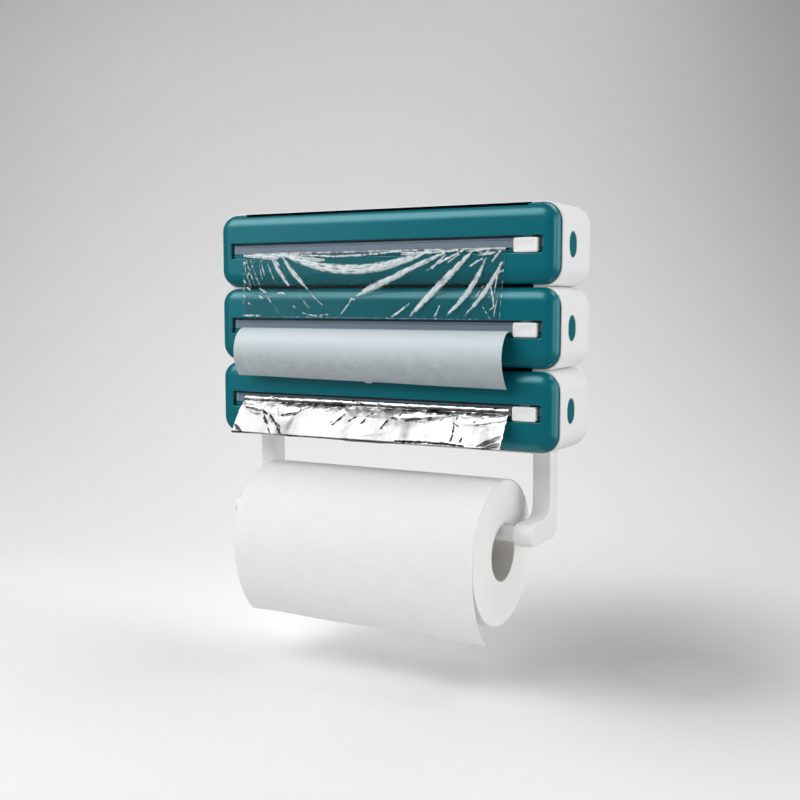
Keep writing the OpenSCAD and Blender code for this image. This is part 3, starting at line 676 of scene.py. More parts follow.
class DISPENSER_OT_shells(PieceOperator):
    """Build the three white shells"""

    bl_idname = "dispenser.shells"
    bl_label = "Shells"

    def execute(self, context):
        for tier, _ in TIERS:
            self.shell(tier)
        return {"FINISHED"}

    def shell(self, tier):
        s = sizes()
        low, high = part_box(f"{tier}_shell")
        z = tier_height(tier)
        half_w, half_h = high.x, high.z - z + s.shell_grow
        back, inner = s.shell_back_edge, s.shell_back_edge - s.shell_wall
        rim, ease = s.rim_round, s.rim_ease
        rings = [(back * (1 - sin), -back * (1 - cos)) for sin, cos in quarter()]
        rings += [(rim * (1 - cos), low.y + rim * (1 - sin)) for sin, cos in quarter(4)]
        rings += [(s.shell_wall - ease * (1 - sin), low.y + ease * (1 - cos)) for sin, cos in quarter(4)]
        floor = -s.back_wall
        inside = s.shell_wall
        rings += [(inside + inner * (1 - cos), floor - inner * (1 - sin)) for sin, cos in quarter()]
        shell = solid(f"{tier}_housing", [box_rings(rings, s.shell_corner, half_w, half_h, z)])
        cutters = [self.button_cutter(tier, side) for _, side in SIDES]
        if tier != "middle":
            cutters += self.screw_cutters(z)
        ends = [side for side, last in ((1, "top"), (-1, "bottom")) if tier != last]
        cutters += [self.finger_cutter(tier, side) for side in ends]
        if tier == "top":
            cutters.append(self.relief_cutter())
        carve(shell, cutters)
        dress(shell, "white_plastic", "root", [f"{tier}_shell"], 32)
        self.shade_gaps(shell, low, high)

    def shade_gaps(self, shell, low, high):
        """Paints shade on the faces inside the finger gaps: a near-black finish stands in for the shade deep in
        the recess.
        """
        s = sizes()
        shell.data.materials.append(finish_of("painted_gap_shade"))
        half, deep = high.x - s.gap_margin + MM, low.y + s.finger_depth + 0.1 * MM
        thick = s.shell_wall + 2 * s.shell_grow
        ceiling = high.z - s.gap_relief
        for face in shell.data.polygons:
            x, y, z = face.center
            inside = abs(x) < half and low.y + 0.05 * MM < y < deep
            edge = min(high.z - z, z - low.z) < thick
            upright = abs(face.normal.z) < 0.5
            if inside and edge and (upright or abs(z - ceiling) < 0.05 * MM):
                face.material_index = 1

    def button_cutter(self, tier, side):
        """An oval hole through an end wall, with a rounded mouth."""
        s = sizes()
        half_w, half_h, y, z = button_oval(tier)
        mouth = 0.8 * MM
        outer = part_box(f"{tier}_shell")[1].x
        rings = [(mouth, outer + 2 * mouth)]
        rings += [(mouth * (1 - sin), outer - mouth * (1 - cos)) for sin, cos in quarter(5)]
        rings += [(0, outer - 4 * s.shell_wall)]
        gap = s.button_gap
        rings = [(grow + gap, side * x) for grow, x in rings]
        return solid("hole", [end_rings(rings, half_w, half_h, y, z, half_w)])

    def screw_cutters(self, z):
        s = sizes()
        mount = next(m for m in frame["record"]["mounts"] if m["name"] == "wall_screws")
        half = mount["dims"]["spacing_x_mm"] * MM / 2
        made = []
        for side in (-half, half):
            rings = []
            for y in (2 * MM, -3 * s.back_wall):
                outline = rounded_outline(s.screw_hole / 2, s.screw_hole / 2, s.screw_hole / 2)
                rings.append([(side + x, y, z + up) for x, up in outline])
            made.append(solid("hole", [rings]))
        return made

    def finger_cutter(self, tier, side):
        """A gap in the rim, through which a fingertip reaches the lower tier's cover."""
        s = sizes()
        low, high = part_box(f"{tier}_shell")
        edge = high.z if side > 0 else low.z
        half, inner = high.x - s.gap_margin, high.x - s.gap_margin - s.finger_slant
        near, far, over = low.y - MM, low.y + s.finger_depth, 1.2 * s.shell_wall
        ring = [(-half, near), (half, near), (inner, far), (-inner, far)]
        rings = [[(x, y, edge + up) for x, y in ring] for up in (-over, over)]
        return solid("gap", [rings])

    def relief_cutter(self):
        """A step inside the top rim above the top cover's finger gap."""
        s = sizes()
        low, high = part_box("top_shell")
        half, near, far = high.x - s.finger_margin, low.y - MM, low.y + s.finger_depth
        ring = [(-half, near), (half, near), (half, far), (-half, far)]
        depths = (2 * s.shell_wall, s.gap_relief)
        rings = [[(x, y, high.z - down) for x, y in ring] for down in depths]
        return solid("step", [rings])


def button_oval(tier):
    """Half width, half height and centre of a tier's oval buttons."""
    low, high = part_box(f"{tier}_button_right")
    lip = 2 * MM
    half_w = (high.y - low.y) / 2 - lip
    z = tier_height(tier)
    return half_w, z - low.z - lip, (low.y + high.y) / 2, z


class DISPENSER_OT_covers(PieceOperator):
    """Build the three teal covers with their slots, finger gaps and hinge ears"""

    bl_idname = "dispenser.covers"
    bl_label = "Covers"

    def execute(self, context):
        for tier, _ in TIERS:
            self.cover(tier)
            self.ears(tier)
        return {"FINISHED"}

    def cover(self, tier):
        s = sizes()
        low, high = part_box(f"{tier}_cover")
        z = tier_height(tier)
        half_w, half_h, front = high.x, high.z - z, low.y
        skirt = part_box(f"{tier}_shell")[0].y + s.cover_lap
        lap, hem = skirt - s.cover_lap - 0.3 * MM, 0.5 * MM
        edge, deep, inner = s.cover_edge, lap - front, lap - front - s.cover_wall
        rings = [(edge * (1 - sin), front + deep * (1 - cos)) for sin, cos in quarter(14)]
        rise = s.top_rise if tier == "top" else s.cover_rise
        face = box_rings(rings, s.cover_corner, half_w, half_h + rise / 2, z + rise / 2, 14)
        wall, behind = s.cover_wall, front + s.cover_wall
        rings = [(0, lap)] + [(hem * (1 - cos), skirt - hem * (1 - sin)) for sin, cos in quarter(3)]
        rings += [(wall - hem * (1 - sin), skirt - hem * (1 - cos)) for sin, cos in quarter(3)]
        rings += [(wall + inner * (1 - cos), behind + inner * (1 - sin)) for sin, cos in quarter(10)]
        cover = solid(f"{tier}_front", [face + box_rings(rings, s.cover_corner, half_w, half_h, z, 14)])
        shell_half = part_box(f"{tier}_shell")[1].x
        slot_half = shell_half - s.slot_margin
        cutters = [self.slot_cutter(front, z, -slot_half, slot_half + s.slot_extra)]
        if tier == "top":
            half = shell_half - s.finger_margin
            cutters.append(self.finger_cutter(front, skirt, z + half_h + rise, half))
        carve(cover, cutters)
        dress(cover, "teal_plastic", f"{tier}_cover", [f"{tier}_cover"], 30)
        self.ledge(tier, front, z, slot_half)

    def ledge(self, tier, front, z, slot_half):
        """A ledge behind the slot, below the rail: the sheet passes over it. It is taller beside it."""
        s = sizes()
        low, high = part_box(f"{dict(TIERS)[tier]}_tail")
        near, far, wall = front + 3.5 * MM, front + 6 * MM, front + s.cover_wall - 0.1 * MM
        lip, tall = z - s.slot_lip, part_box(f"{tier}_cutter_rail")[0].z - 0.1 * MM
        root, foot = lip - 2 * MM, lip - 4 * MM
        end, left, right = slot_half + 3 * MM, low.x - 2 * MM, high.x + 2 * MM
        lofts = []
        for start, stop, top in ((-end, left, tall), (left, right, lip + 3.6 * MM), (right, end, tall)):
            ring = [(near + MM, top), (near, top - MM), (near, root), (wall, root)]
            ring += [(wall, foot), (far, foot), (far, top)]
            lofts.append([[(x, y, up) for y, up in ring] for x in (start, stop)])
        ledge = solid(f"{tier}_front_ledge", lofts)
        dress(ledge, "teal_plastic", f"{tier}_cover", [], 30)

    def slot_cutter(self, front, z, left, right):
        s = sizes()
        lip = s.slot_round
        middle = z + (s.slot_top - s.slot_lip) / 2
        tall = (s.slot_top + s.slot_lip) / 2
        rings = [(-lip, front - 2 * lip)]
        rings += [(-lip * (1 - sin), front + lip * (1 - cos)) for sin, cos in quarter(5)]
        rings += [(0, front + 3 * s.cover_wall)]
        shift = (left + right) / 2
        ready = box_rings(rings, 0.8 * MM, (right - left) / 2, tall, middle, 4)
        return solid("slot", [[[(x + shift, y, up) for x, y, up in ring] for ring in ready]])

    def finger_cutter(self, front, skirt, top, half):
        """A shallow trough in the top edge with slanted ends."""
        s = sizes()
        low, high = top - s.finger_height, top + 2 * MM
        inner, outer = half - s.finger_slant, half + s.finger_slant / 2
        ring = [(-inner, low), (inner, low), (outer, high), (-outer, high)]
        rings = [[(x, y, up) for x, up in ring] for y in (front - MM, skirt + MM)]
        return solid("trough", [rings])

    def ears(self, tier):
        s = sizes()
        hinge = joint_point(f"{tier}_cover_hinge")
        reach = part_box(f"{tier}_end_brackets")[1].x
        start, end = reach + 1 * MM, reach + 4.8 * MM
        lug, ease = 5 * MM, 0.6 * MM
        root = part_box(f"{tier}_cover")[0].y + 1.2 * s.cover_wall
        lofts = []
        for _, side in SIDES:
            rings = []
            for grow, x in ((-ease, start), (0, start + ease), (0, end - ease), (-ease, end)):
                r = lug + grow
                ring = [(root, hinge.z + r)]
                for a in np.linspace(90, -90, 25):
                    turn = math.radians(a)
                    ring.append((hinge.y + r * math.cos(turn), hinge.z + r * math.sin(turn)))
                ring.append((root, hinge.z - r))
                rings.append([(side * x, y, z) for y, z in ring])
            lofts.append(rings)
        ears = solid(f"{tier}_front_ears", lofts)
        dress(ears, "teal_plastic", f"{tier}_cover", [])


class DISPENSER_OT_rails(PieceOperator):
    """Build the cutter rails and their end caps"""

    bl_idname = "dispenser.rails"
    bl_label = "Cutter rails"

    def execute(self, context):
        for tier, _ in TIERS:
            low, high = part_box(f"{tier}_cutter_rail")
            rail = solid(f"{tier}_rail", [self.bar(low, high, low.x, high.x, 0.0)])
            dress(rail, "rail_grey", f"{tier}_cover", [f"{tier}_cutter_rail"], 25)
            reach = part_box(f"{tier}_rail_end_caps")[1].x
            step = high.x + 2.2 * MM
            lofts = [self.bar(low, high, side * high.x, side * step, 0.5 * MM) for _, side in SIDES]
            lofts += [self.bar(low, high, side * step, side * reach, -2.0 * MM) for _, side in SIDES]
            caps = solid(f"{tier}_caps", lofts)
            dress(caps, "pale_plastic", f"{tier}_cover", [f"{tier}_rail_end_caps"], 25)
        return {"FINISHED"}

    def bar(self, low, high, start, end, proud):
        """Rings of a bar with the rail's section, whose face has a bevel and a fine groove."""
        s = sizes()
        face, back = low.y + s.rail_recess - proud, low.y + s.rail_recess + s.rail_depth
        top, bevel = low.z + s.rail_height, 0.5 * MM
        under, groove = high.z - s.rail_web, low.z + 0.74 * s.rail_height
        ring = [
            (face + bevel, low.z), (high.y, low.z), (high.y, high.z), (low.y, high.z), (low.y, under),
            (back, under), (back, top), (face + bevel, top), (face, top - bevel), (face, groove + bevel),
            (face + bevel, groove + bevel / 2), (face + bevel, groove - bevel / 2), (face, groove - bevel),
            (face, low.z + bevel),
        ]
        return [[(x, y, z) for y, z in ring] for x in (start, end)]


class DISPENSER_OT_cutters(PieceOperator):
    """Build the white slide cutters with their thumb dishes"""

    bl_idname = "dispenser.cutters"
    bl_label = "Slide cutters"

    def execute(self, context):
        for tier, _ in TIERS:
            self.cutter(tier)
        return {"FINISHED"}

    def cutter(self, tier):
        s = sizes()
        low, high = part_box(f"{tier}_cutter_slider")
        z0 = tier_height(tier)
        x, half_w = (low.x + high.x) / 2, (high.x - low.x) / 2
        head = z0 + s.slot_top - 1.95 * MM
        half_h, z = (head - low.z) / 2, (head + low.z) / 2
        front, back, r = low.y, low.y + 4.7 * MM, s.cutter_round
        corner = 1.6 * r
        rings = [(0, back)]
        rings += [(r * (1 - sin), front + r * (1 - cos)) for sin, cos in reversed(quarter(6))]
        deepest = half_h - 0.4 * MM
        rings += [(r + (deepest - r) * i / 8, front) for i in range(1, 9)]
        block = []
        for inset, y in rings:
            outline = rounded_outline(half_w - inset, half_h - inset, max(corner - inset, 0.15 * MM), 8)
            block.append([(x + a, y + self.dish(a, y - front), z + b) for a, b in outline])
        cutter = solid(f"{tier}_cutter", [block])
        dress(cutter, "white_plastic", f"{tier}_slider", [f"{tier}_cutter_slider"], 50)
        self.hook(tier, x, back, head, z0 + 6.1 * MM, high)

    def hook(self, tier, x, back, head, under, high):
        """The hook that carries the cutter over the rail's top edge."""
        rise, half = back - 0.8 * MM, 5 * MM
        ring = [(high.y, under), (high.y, high.z), (rise, high.z)]
        ring += [(rise, head - MM), (back, head - MM), (back, under)]
        rings = [[(x + side, a, b) for a, b in ring] for side in (-half, half)]
        hook = solid(f"{tier}_cutter_hook", [rings])
        dress(hook, "rail_grey", f"{tier}_slider", [], 50)

    def dish(self, a, behind):
        """How deep the thumb dish is at a distance from the cutter's middle."""
        s = sizes()
        deep = math.sqrt(s.dish_radius ** 2 - a * a) - (s.dish_radius - s.dish_depth)
        return max(0, deep) * max(0, 1 - behind / s.cutter_round)


class DISPENSER_OT_buttons(PieceOperator):
    """Build the oval release buttons and the coil springs behind them"""

    bl_idname = "dispenser.buttons"
    bl_label = "Buttons"

    def execute(self, context):
        for tier, _ in TIERS:
            for name, side in SIDES:
                self.button(tier, name, side)
                self.coil(tier, name, side)
        return {"FINISHED"}

    def button(self, tier, name, side):
        s = sizes()
        low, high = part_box(f"{tier}_button_right")
        half_w, half_h, y, z = button_oval(tier)
        r, dome, tall = s.button_round, 0.2 * MM, high.z
        outer = high.x - dome
        rings = [(0, low.x)]
        rings += [(-r * (1 - cos), outer - r * (1 - sin)) for sin, cos in quarter(6)]
        for i in range(1, 9):
            share = i / 8
            rings.append((-r - (half_w - r - 0.3 * MM) * share, outer + dome * (1 - (1 - share) ** 2)))
        plunger = end_rings([(grow, side * x) for grow, x in rings], half_w, half_h, y, z, half_w)
        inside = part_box(f"{tier}_shell")[1].x - s.shell_wall - 0.1 * MM
        lip, thick, tab = 2 * MM, 1.4 * MM, half_w / 2
        rings = [(lip, side * (inside - thick)), (lip, side * inside)]
        collar = end_rings(rings, half_w, half_h, y, z, half_w)
        finger = [[(side * x, y + a, b) for a, b in ((-tab, z), (tab, z), (tab, tall), (-tab, tall))]
                  for x in (inside - thick, inside)]
        button = solid(f"{tier}_{name}_oval_button", [plunger, collar, finger])
        node = f"{tier}_button_{name}"
        dress(button, "teal_plastic", node, [node], 40)

    def coil(self, tier, name, side):
        s = sizes()
        _, _, y, z = button_oval(tier)
        start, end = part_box(f"{tier}_end_brackets")[1].x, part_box(f"{tier}_button_right")[0].x
        radius = 4 * MM - s.coil_wire / 2
        rings = coil_rings(side * start, side * end, y, z, radius, s.coil_wire, 6)
        coil = solid(f"{tier}_{name}_button_coil", [rings])
        dress(coil, "spring_steel", "root", ["button_springs"], 60)
        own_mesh(coil)


class DISPENSER_OT_windings(PieceOperator):
    """Build the wound film, parchment and foil inside the tiers"""

    bl_idname = "dispenser.windings"
    bl_label = "Rolls in the tiers"

    def execute(self, context):
        for i, (tier, sheet) in enumerate(TIERS):
            low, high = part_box(f"{sheet}_roll")
            y, z, outer = (low.y + high.y) / 2, (low.z + high.z) / 2, (high.z - low.z) / 2
            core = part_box(f"{tier}_roll_core")
            inner = (core[1].z - core[0].z) / 2 + 0.1 * MM
            profile = wound_profile(low.x, high.x, inner, outer, 8, 40, 0.25 * MM, 7 + i)
            rings = turned(profile, y, z, 72, lambda x, a, r: self.wave(x, a, r, outer))
            roll = solid(f"{sheet}_winding", [rings], closed=True)
            finish = "wound_film" if sheet == "film" else SHEET_SLOT[sheet]
            dress(roll, finish, f"{sheet}_roll", [f"{sheet}_roll"], 50)
        return {"FINISHED"}

    def wave(self, x, a, r, outer):
        """Faint unevenness of the outermost layers."""
        if r < outer - 0.3 * MM:
            return 0
        return 0.12 * MM * (noise.noise((x * 40, 2 * math.sin(a), 2 * math.cos(a))) - 0.9)


def wound_profile(left, right, inner, outer, layers, spans, ripple, seed):
    """Section of a wound roll: its bore, its layered ends and its outside, softly rounded."""
    rng = np.random.default_rng(seed)
    ease = min(0.8 * MM, (outer - inner) / 4)
    radii = np.linspace(inner, outer - ease, 2 * layers)
    depth = [ripple * (i % 2) * rng.uniform(0.4, 1) for i in range(2 * layers)]
    depth[0] = depth[-1] = 0.0
    profile = [(left + d, r) for d, r in zip(depth, radii)]
    turns = quarter(4)
    profile += [(left + ease * (1 - cos), outer - ease * (1 - sin)) for sin, cos in turns[1:]]
    profile += [(left + ease + (right - left - 2 * ease) * i / spans, outer) for i in range(1, spans)]
    profile += [(right - ease * (1 - sin), outer - ease * (1 - cos)) for sin, cos in turns[-2::-1]]
    profile += [(right - d, r) for d, r in zip(reversed(depth), reversed(radii))]
    return profile


def slit(tier):
    """Depth of a cover's front face and height of its slot's lip."""
    s = sizes()
    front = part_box(f"{tier}_cover")[0].y
    return front, tier_height(tier) - s.slot_lip + 0.05 * MM


class DISPENSER_OT_runs(PieceOperator):
    """Build the stretches of sheet from the rolls to the slots"""

    bl_idname = "dispenser.runs"
    bl_label = "Sheets inside the tiers"

    def execute(self, context):
        for tier, sheet in TIERS:
            self.run(tier, sheet)
        return {"FINISHED"}

    def run(self, tier, sheet):
        s = sizes()
        low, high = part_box(f"{sheet}_lead")
        front, lip = slit(tier)
        leave, end = (high.y, low.z + 0.15 * MM), sheet_path(tier, PATHS[sheet])[0]
        bend = (front + 7.2 * MM, lip + 3.9 * MM)
        run = Sheet([leave, bend, end], low.x, high.x, 150, 40)
        wave = clouds(run.uu, run.vv, 14, 3, 11 if sheet == "foil" else 5)
        inside = np.clip(run.vv * 4, 0, 1) * np.clip((1 - run.vv) * 6, 0, 1)
        run.lift += 0.35 * MM * wave * inside
        thickness = s.film_thickness if sheet == "film" else s.sheet_thickness
        # Painted light and shade on the runs: their waves are painted lighter on film and darker on parchment and
        # foil.
        marks = 0.25 * np.clip(wave, 0, 1)
        piece = run.build(f"{sheet}_run", thickness, marks)
        slot_name = SHEET_SLOT[sheet]
        piece.data.materials.append(finish_of(slot_name))
        piece.data.shade_smooth()
        piece.data.set_sharp_from_angle(angle=math.radians(60 if sheet == "foil" else 75))
        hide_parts(f"{sheet}_lead")
        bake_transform(piece)


# Bends of each sheet from the slot to its free end: mm behind the cover's face and above the slot's lip
PATHS = {
    "film": ((3.35, 4.4), (2.0, 5.8), (-0.9, 7.6), (-1.1, 0.8), (-1.2, -20), (-1.6, -42), (-2.5, -60.8)),
    "paper": ((3.35, 4.4), (2.2, 5.6), (0.8, 6.0), (-1.5, 6.0), (-14, 6.0), (-21.5, -8), (-20.5, -21),
              (-19.4, -32), (-14.0, -41), (-9.5, -45.8)),
    "foil": ((3.35, 4.3), (3.1, 8.0), (3.0, 12.2), (0.8, 12.6), (-2.2, 13.0), (-4.6, 9.9), (-2.4, 6.8),
             (-8.0, 2.3), (-15.6, -9.7), (-23.9, -22.6), (-24.8, -24.0), (-24.6, -24.9), (-23.2, -25.0)),
}

# Creases of the film, which lift it and are painted white as highlights: start and end across and down it, bow and
# width in mm, and strength
FILM_CREASES_AND_HIGHLIGHTS = (
    (0.00, 0.03, 0.21, 0.04, 0.5, 6.0, 0.9), (0.16, 0.00, 0.74, 0.00, 17.8, 11.0, 1.0),
    (0.19, 0.01, 0.64, 0.00, 4.0, 2.2, 0.95), (0.60, 0.02, 0.86, 0.02, 1.5, 2.0, 0.9),
    (0.075, 0.10, 0.10, 0.45, 0.5, 1.6, 0.6), (0.12, 0.07, 0.195, 0.52, 0.8, 5.5, 0.75),
    (0.165, 0.06, 0.27, 0.56, 1.2, 6.0, 0.85), (0.27, 0.57, 0.33, 0.80, 0.6, 2.0, 0.35),
    (0.01, 0.08, 0.05, 0.50, 0.5, 1.4, 0.6), (0.03, 0.08, 0.07, 0.50, 0.5, 1.2, 0.5),
    (0.805, 0.03, 0.47, 0.655, 1.0, 6.0, 0.95), (0.66, 0.31, 0.465, 0.66, 1.0, 8.5, 0.7),
    (0.888, 0.04, 0.668, 0.955, 0.6, 7.5, 1.0),
    (0.86, 0.02, 0.73, 0.29, 0.6, 2.8, 0.9), (0.935, 0.14, 0.80, 0.94, -4.0, 6.0, 0.95),
    (0.995, 0.18, 0.875, 0.88, -3.0, 5.5, 0.85), (0.80, 0.06, 0.745, 0.28, 0.5, 2.4, 0.8),
    (0.87, 0.04, 0.98, 0.00, -0.5, 3.0, 0.9), (0.90, 0.10, 0.99, 0.04, 0.4, 2.6, 0.85),
    (0.93, 0.13, 0.87, 0.28, 0.5, 2.2, 0.8), (0.985, 0.22, 0.972, 0.62, 0.5, 2.2, 0.8),
    (0.955, 0.52, 0.972, 0.82, -0.6, 2.4, 0.85), (0.93, 0.82, 0.965, 0.99, 0.4, 1.5, 0.6),
    (0.40, 0.96, 0.445, 0.72, 0.5, 1.8, 0.7), (0.60, 0.97, 0.665, 0.77, 0.6, 2.4, 0.85),
    (0.755, 0.96, 0.775, 0.80, 0.4, 1.8, 0.75), (0.00, 0.985, 0.075, 0.985, 0.0, 2.0, 0.85),
    (0.10, 0.66, 0.12, 0.78, 0.3, 1.6, 0.5), (0.065, 0.66, 0.085, 0.71, 0.0, 2.2, 0.7),
    (0.145, 0.64, 0.175, 0.64, -1.2, 2.0, 0.7), (0.02, 0.30, 0.03, 0.345, 0.0, 2.2, 0.7),
    (0.05, 0.37, 0.06, 0.40, 0.0, 2.0, 0.6), (0.015, 0.53, 0.03, 0.57, 0.0, 2.6, 0.8),
    (0.02, 0.77, 0.03, 0.80, 0.0, 2.0, 0.7), (0.21, 0.83, 0.225, 0.86, 0.0, 1.6, 0.5),
    (0.44, 0.70, 0.46, 0.73, 0.0, 2.2, 0.7), (0.25, 0.93, 0.33, 0.985, 0.5, 1.4, 0.45),
    (0.005, 0.10, 0.035, 0.55, 1.5, 1.2, 0.45), (0.05, 0.10, 0.012, 0.42, 0.5, 1.2, 0.4),
    (0.06, 0.09, 0.085, 0.50, -0.8, 1.2, 0.4), (0.10, 0.09, 0.135, 0.44, 0.8, 1.6, 0.45),
    (0.0, 0.12, 0.012, 0.16, 0.0, 2.6, 0.7), (0.0, 0.42, 0.012, 0.47, 0.0, 2.4, 0.6),
    (0.0, 0.66, 0.01, 0.70, 0.0, 2.2, 0.6),
    (0.03, 0.02, 0.15, 0.09, 0.5, 5.0, 0.65), (0.125, 0.05, 0.155, 0.20, 0.4, 4.0, 0.6),
    (0.20, 0.03, 0.34, 0.12, 2.0, 6.5, 0.7), (0.62, 0.06, 0.745, 0.02, 0.8, 3.0, 0.55),
    (0.70, 0.05, 0.84, 0.00, 1.0, 2.4, 0.6), (0.845, 0.07, 0.80, 0.20, 0.4, 2.0, 0.5),
    (0.90, 0.00, 0.93, 0.09, 0.3, 2.2, 0.55), (0.95, 0.02, 0.92, 0.12, 0.3, 2.0, 0.5),
    (0.985, 0.05, 0.955, 0.20, 0.5, 2.6, 0.6), (1.0, 0.30, 0.965, 0.42, 0.4, 2.0, 0.5),
    (0.96, 0.40, 0.94, 0.60, 0.4, 1.8, 0.5), (0.93, 0.52, 0.90, 0.70, 0.5, 2.0, 0.45),
    (0.955, 0.86, 0.985, 0.78, 0.3, 1.6, 0.55), (0.985, 0.70, 0.975, 0.96, 0.6, 1.6, 0.5),
    (0.68, 0.92, 0.70, 0.80, 0.4, 1.8, 0.5), (0.86, 0.95, 0.885, 0.84, 0.4, 1.8, 0.55),
    (0.30, 0.97, 0.36, 0.94, 0.4, 1.6, 0.4), (0.13, 0.80, 0.16, 0.97, 0.5, 1.4, 0.3),
    (0.23, 0.62, 0.29, 0.90, 0.8, 1.6, 0.3), (0.07, 0.55, 0.10, 0.62, 0.2, 2.2, 0.55),
    (0.00, 0.995, 1.0, 0.995, 0.0, 0.9, 0.4), (0.0, 0.05, 0.002, 0.98, 0.0, 0.9, 0.4),
    (1.0, 0.02, 0.998, 0.98, 0.0, 0.9, 0.5),
)


def sheet_path(tier, bends):
    """Points along the curves through a sheet's bends."""
    front, lip = slit(tier)
    points = [(front + y * MM, lip + z * MM) for y, z in bends]
    path = [points[0]]
    for i in range(0, len(points) - 1, 3):
        path += [tuple(p) for p in bezier(points[i:i + 4])[1:]]
    return path


def hang(sheet, tail, thickness, crease, marks=None):
    """Turns a hanging sheet into a piece with its finish, in place of the imported tail."""
    piece = tail.build(f"{sheet}_hanging_end", thickness, marks)
    slot_name = SHEET_SLOT[sheet]
    piece.data.materials.append(finish_of(slot_name))
    piece.data.shade_smooth()
    piece.data.set_sharp_from_angle(angle=math.radians(crease))
    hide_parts(f"{sheet}_tail")
    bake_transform(piece)


class DISPENSER_OT_film(PieceOperator):
    """Build the creased cling film that hangs from the top slot"""

    bl_idname = "dispenser.film"
    bl_label = "Cling film"

    def execute(self, context):
        low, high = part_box("film_tail")
        film = Sheet(sheet_path("top", PATHS["film"]), low.x, high.x, 560, 150)
        crest = 0.06
        strokes = []
        for u0, v0, u1, v1, *rest in FILM_CREASES_AND_HIGHLIGHTS:
            strokes.append((u0, crest + (1 - crest) * v0, u1, crest + (1 - crest) * v1, *rest))
        # The creases lift the film and also carry its painted highlights.
        creases = stroke_field(film, strokes, 0.9, 21, 0.6)
        torn = clouds(film.uu + 0.12 * film.vv, film.vv, 60, 9, 6)
        creases *= np.clip(0.94 + 0.45 * torn, 0.4, 1)
        # Painted highlight: a patchy white ridge along the film's crest at the slot, which also lifts it.
        patchy = np.clip(0.35 + 0.5 * clouds(film.uu, film.vv, 45, 6, 8), 0.1, 0.6)
        ridge = np.exp(-((film.vv - crest) / 0.02) ** 2) * patchy
        creases = np.maximum(creases, ridge)
        free = np.clip((film.vv - 0.04) * 8, 0, 1)
        wave = clouds(film.uu, film.vv, 9, 2.2, 3) + 0.6
        film.lift += free * (0.9 * MM * creases + 0.25 * MM * wave)
        film.sway -= 4.5 * MM * film.vv * np.clip((film.uu - 0.9) * 10, 0, 1)
        film.slide += 1.5 * MM * film.vv * film.uu
        hang("film", film, sizes().film_thickness, 80, creases)
        return {"FINISHED"}


class DISPENSER_OT_parchment(PieceOperator):
    """Build the curled parchment that hangs from the middle slot"""

    bl_idname = "dispenser.parchment"
    bl_label = "Parchment"

    def execute(self, context):
        low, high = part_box("paper_tail")
        sheet = Sheet(sheet_path("middle", PATHS["paper"]), low.x, high.x, 260, 90)
        free = np.clip((sheet.vv - 0.08) * 4, 0, 1)
        sheet.lift += free * 0.5 * MM * clouds(sheet.uu, sheet.vv, 5, 1.5, 9)
        sheet.slide += 6 * MM * (sheet.uu - 0.5) * sheet.vv
        tooth = np.clip(1 - np.abs(sheet.uu - 0.515) / 0.018, 0, 1)
        sheet.slide += 2.2 * MM * np.minimum(tooth * 1.6, 1) * np.clip((sheet.vv - 0.9) * 10, 0, 1)
        # Painted shade: the sheet is painted greyer down its lower part, cloudily; the finish reads this as its
        # crease value.
        cloudy = clouds(sheet.uu, sheet.vv, 30, 7, 19) + 0.6 * clouds(sheet.uu, sheet.vv, 85, 20, 20)
        shade = np.clip((sheet.vv - 0.36) * 2.6, 0, 1) * (0.85 + 0.22 * cloudy)
        hang("paper", sheet, sizes().sheet_thickness, 80, np.clip(shade, 0, 1))
        return {"FINISHED"}


# Patches of the foil in the photograph: pixels at the ends of two edges, and their shares down the sheet
FOIL_STRIP = {
    "top": ((243.5, 395.5), (510, 408.5)),
    "bottom": ((243.5, 401.3), (510, 417.5)),
    "down": (0.20, 0.37),
}
FOIL_FLAP = {
    "top": ((241, 401.3), (507, 417.5)),
    "bottom": ((231.7, 430), (499, 450)),
    "down": (0.37, 1.0),
}

# Enlarged crops of the photograph: the pixel at their corner, their scale and what counts as a millimetre
LEFT_CROP, RIGHT_CROP = (225, 385), (365, 385)
CROP_SCALE = 1568 / 150
CROP_PER_MM = 11


def on_patch(patch, pixel):
    """Shares across and down the foil of a pixel on one of its patches, as fine as a mark is."""
    top, bottom = patch["top"], patch["bottom"]
    down, rounds = 0.5, 30
    for _ in range(rounds):
        left, right = (a[0] + (b[0] - a[0]) * down for a, b in zip(top, bottom))
        across = (pixel[0] - left) / (right - left)
        upper, lower = (a[1] + (b[1] - a[1]) * across for a, b in (top, bottom))
        down = (pixel[1] - upper) / (lower - upper)
    start, end = patch["down"]
    return round(across, 3), round(start + (end - start) * down, 2)


def marked(patch, corner, marks):
    """Folds from marks on a crop: both ends, bow and width in its pixels, and strength."""
    folds = []
    for ax, ay, bx, by, bow, width, strength in marks:
        fold = []
        for x, y in ((ax, ay), (bx, by)):
            fold += on_patch(patch, (corner[0] + x / CROP_SCALE, corner[1] + y / CROP_SCALE))
        fold += [round(size / CROP_PER_MM, 1) for size in (bow, width)]
        folds.append((*fold, strength))
    return folds
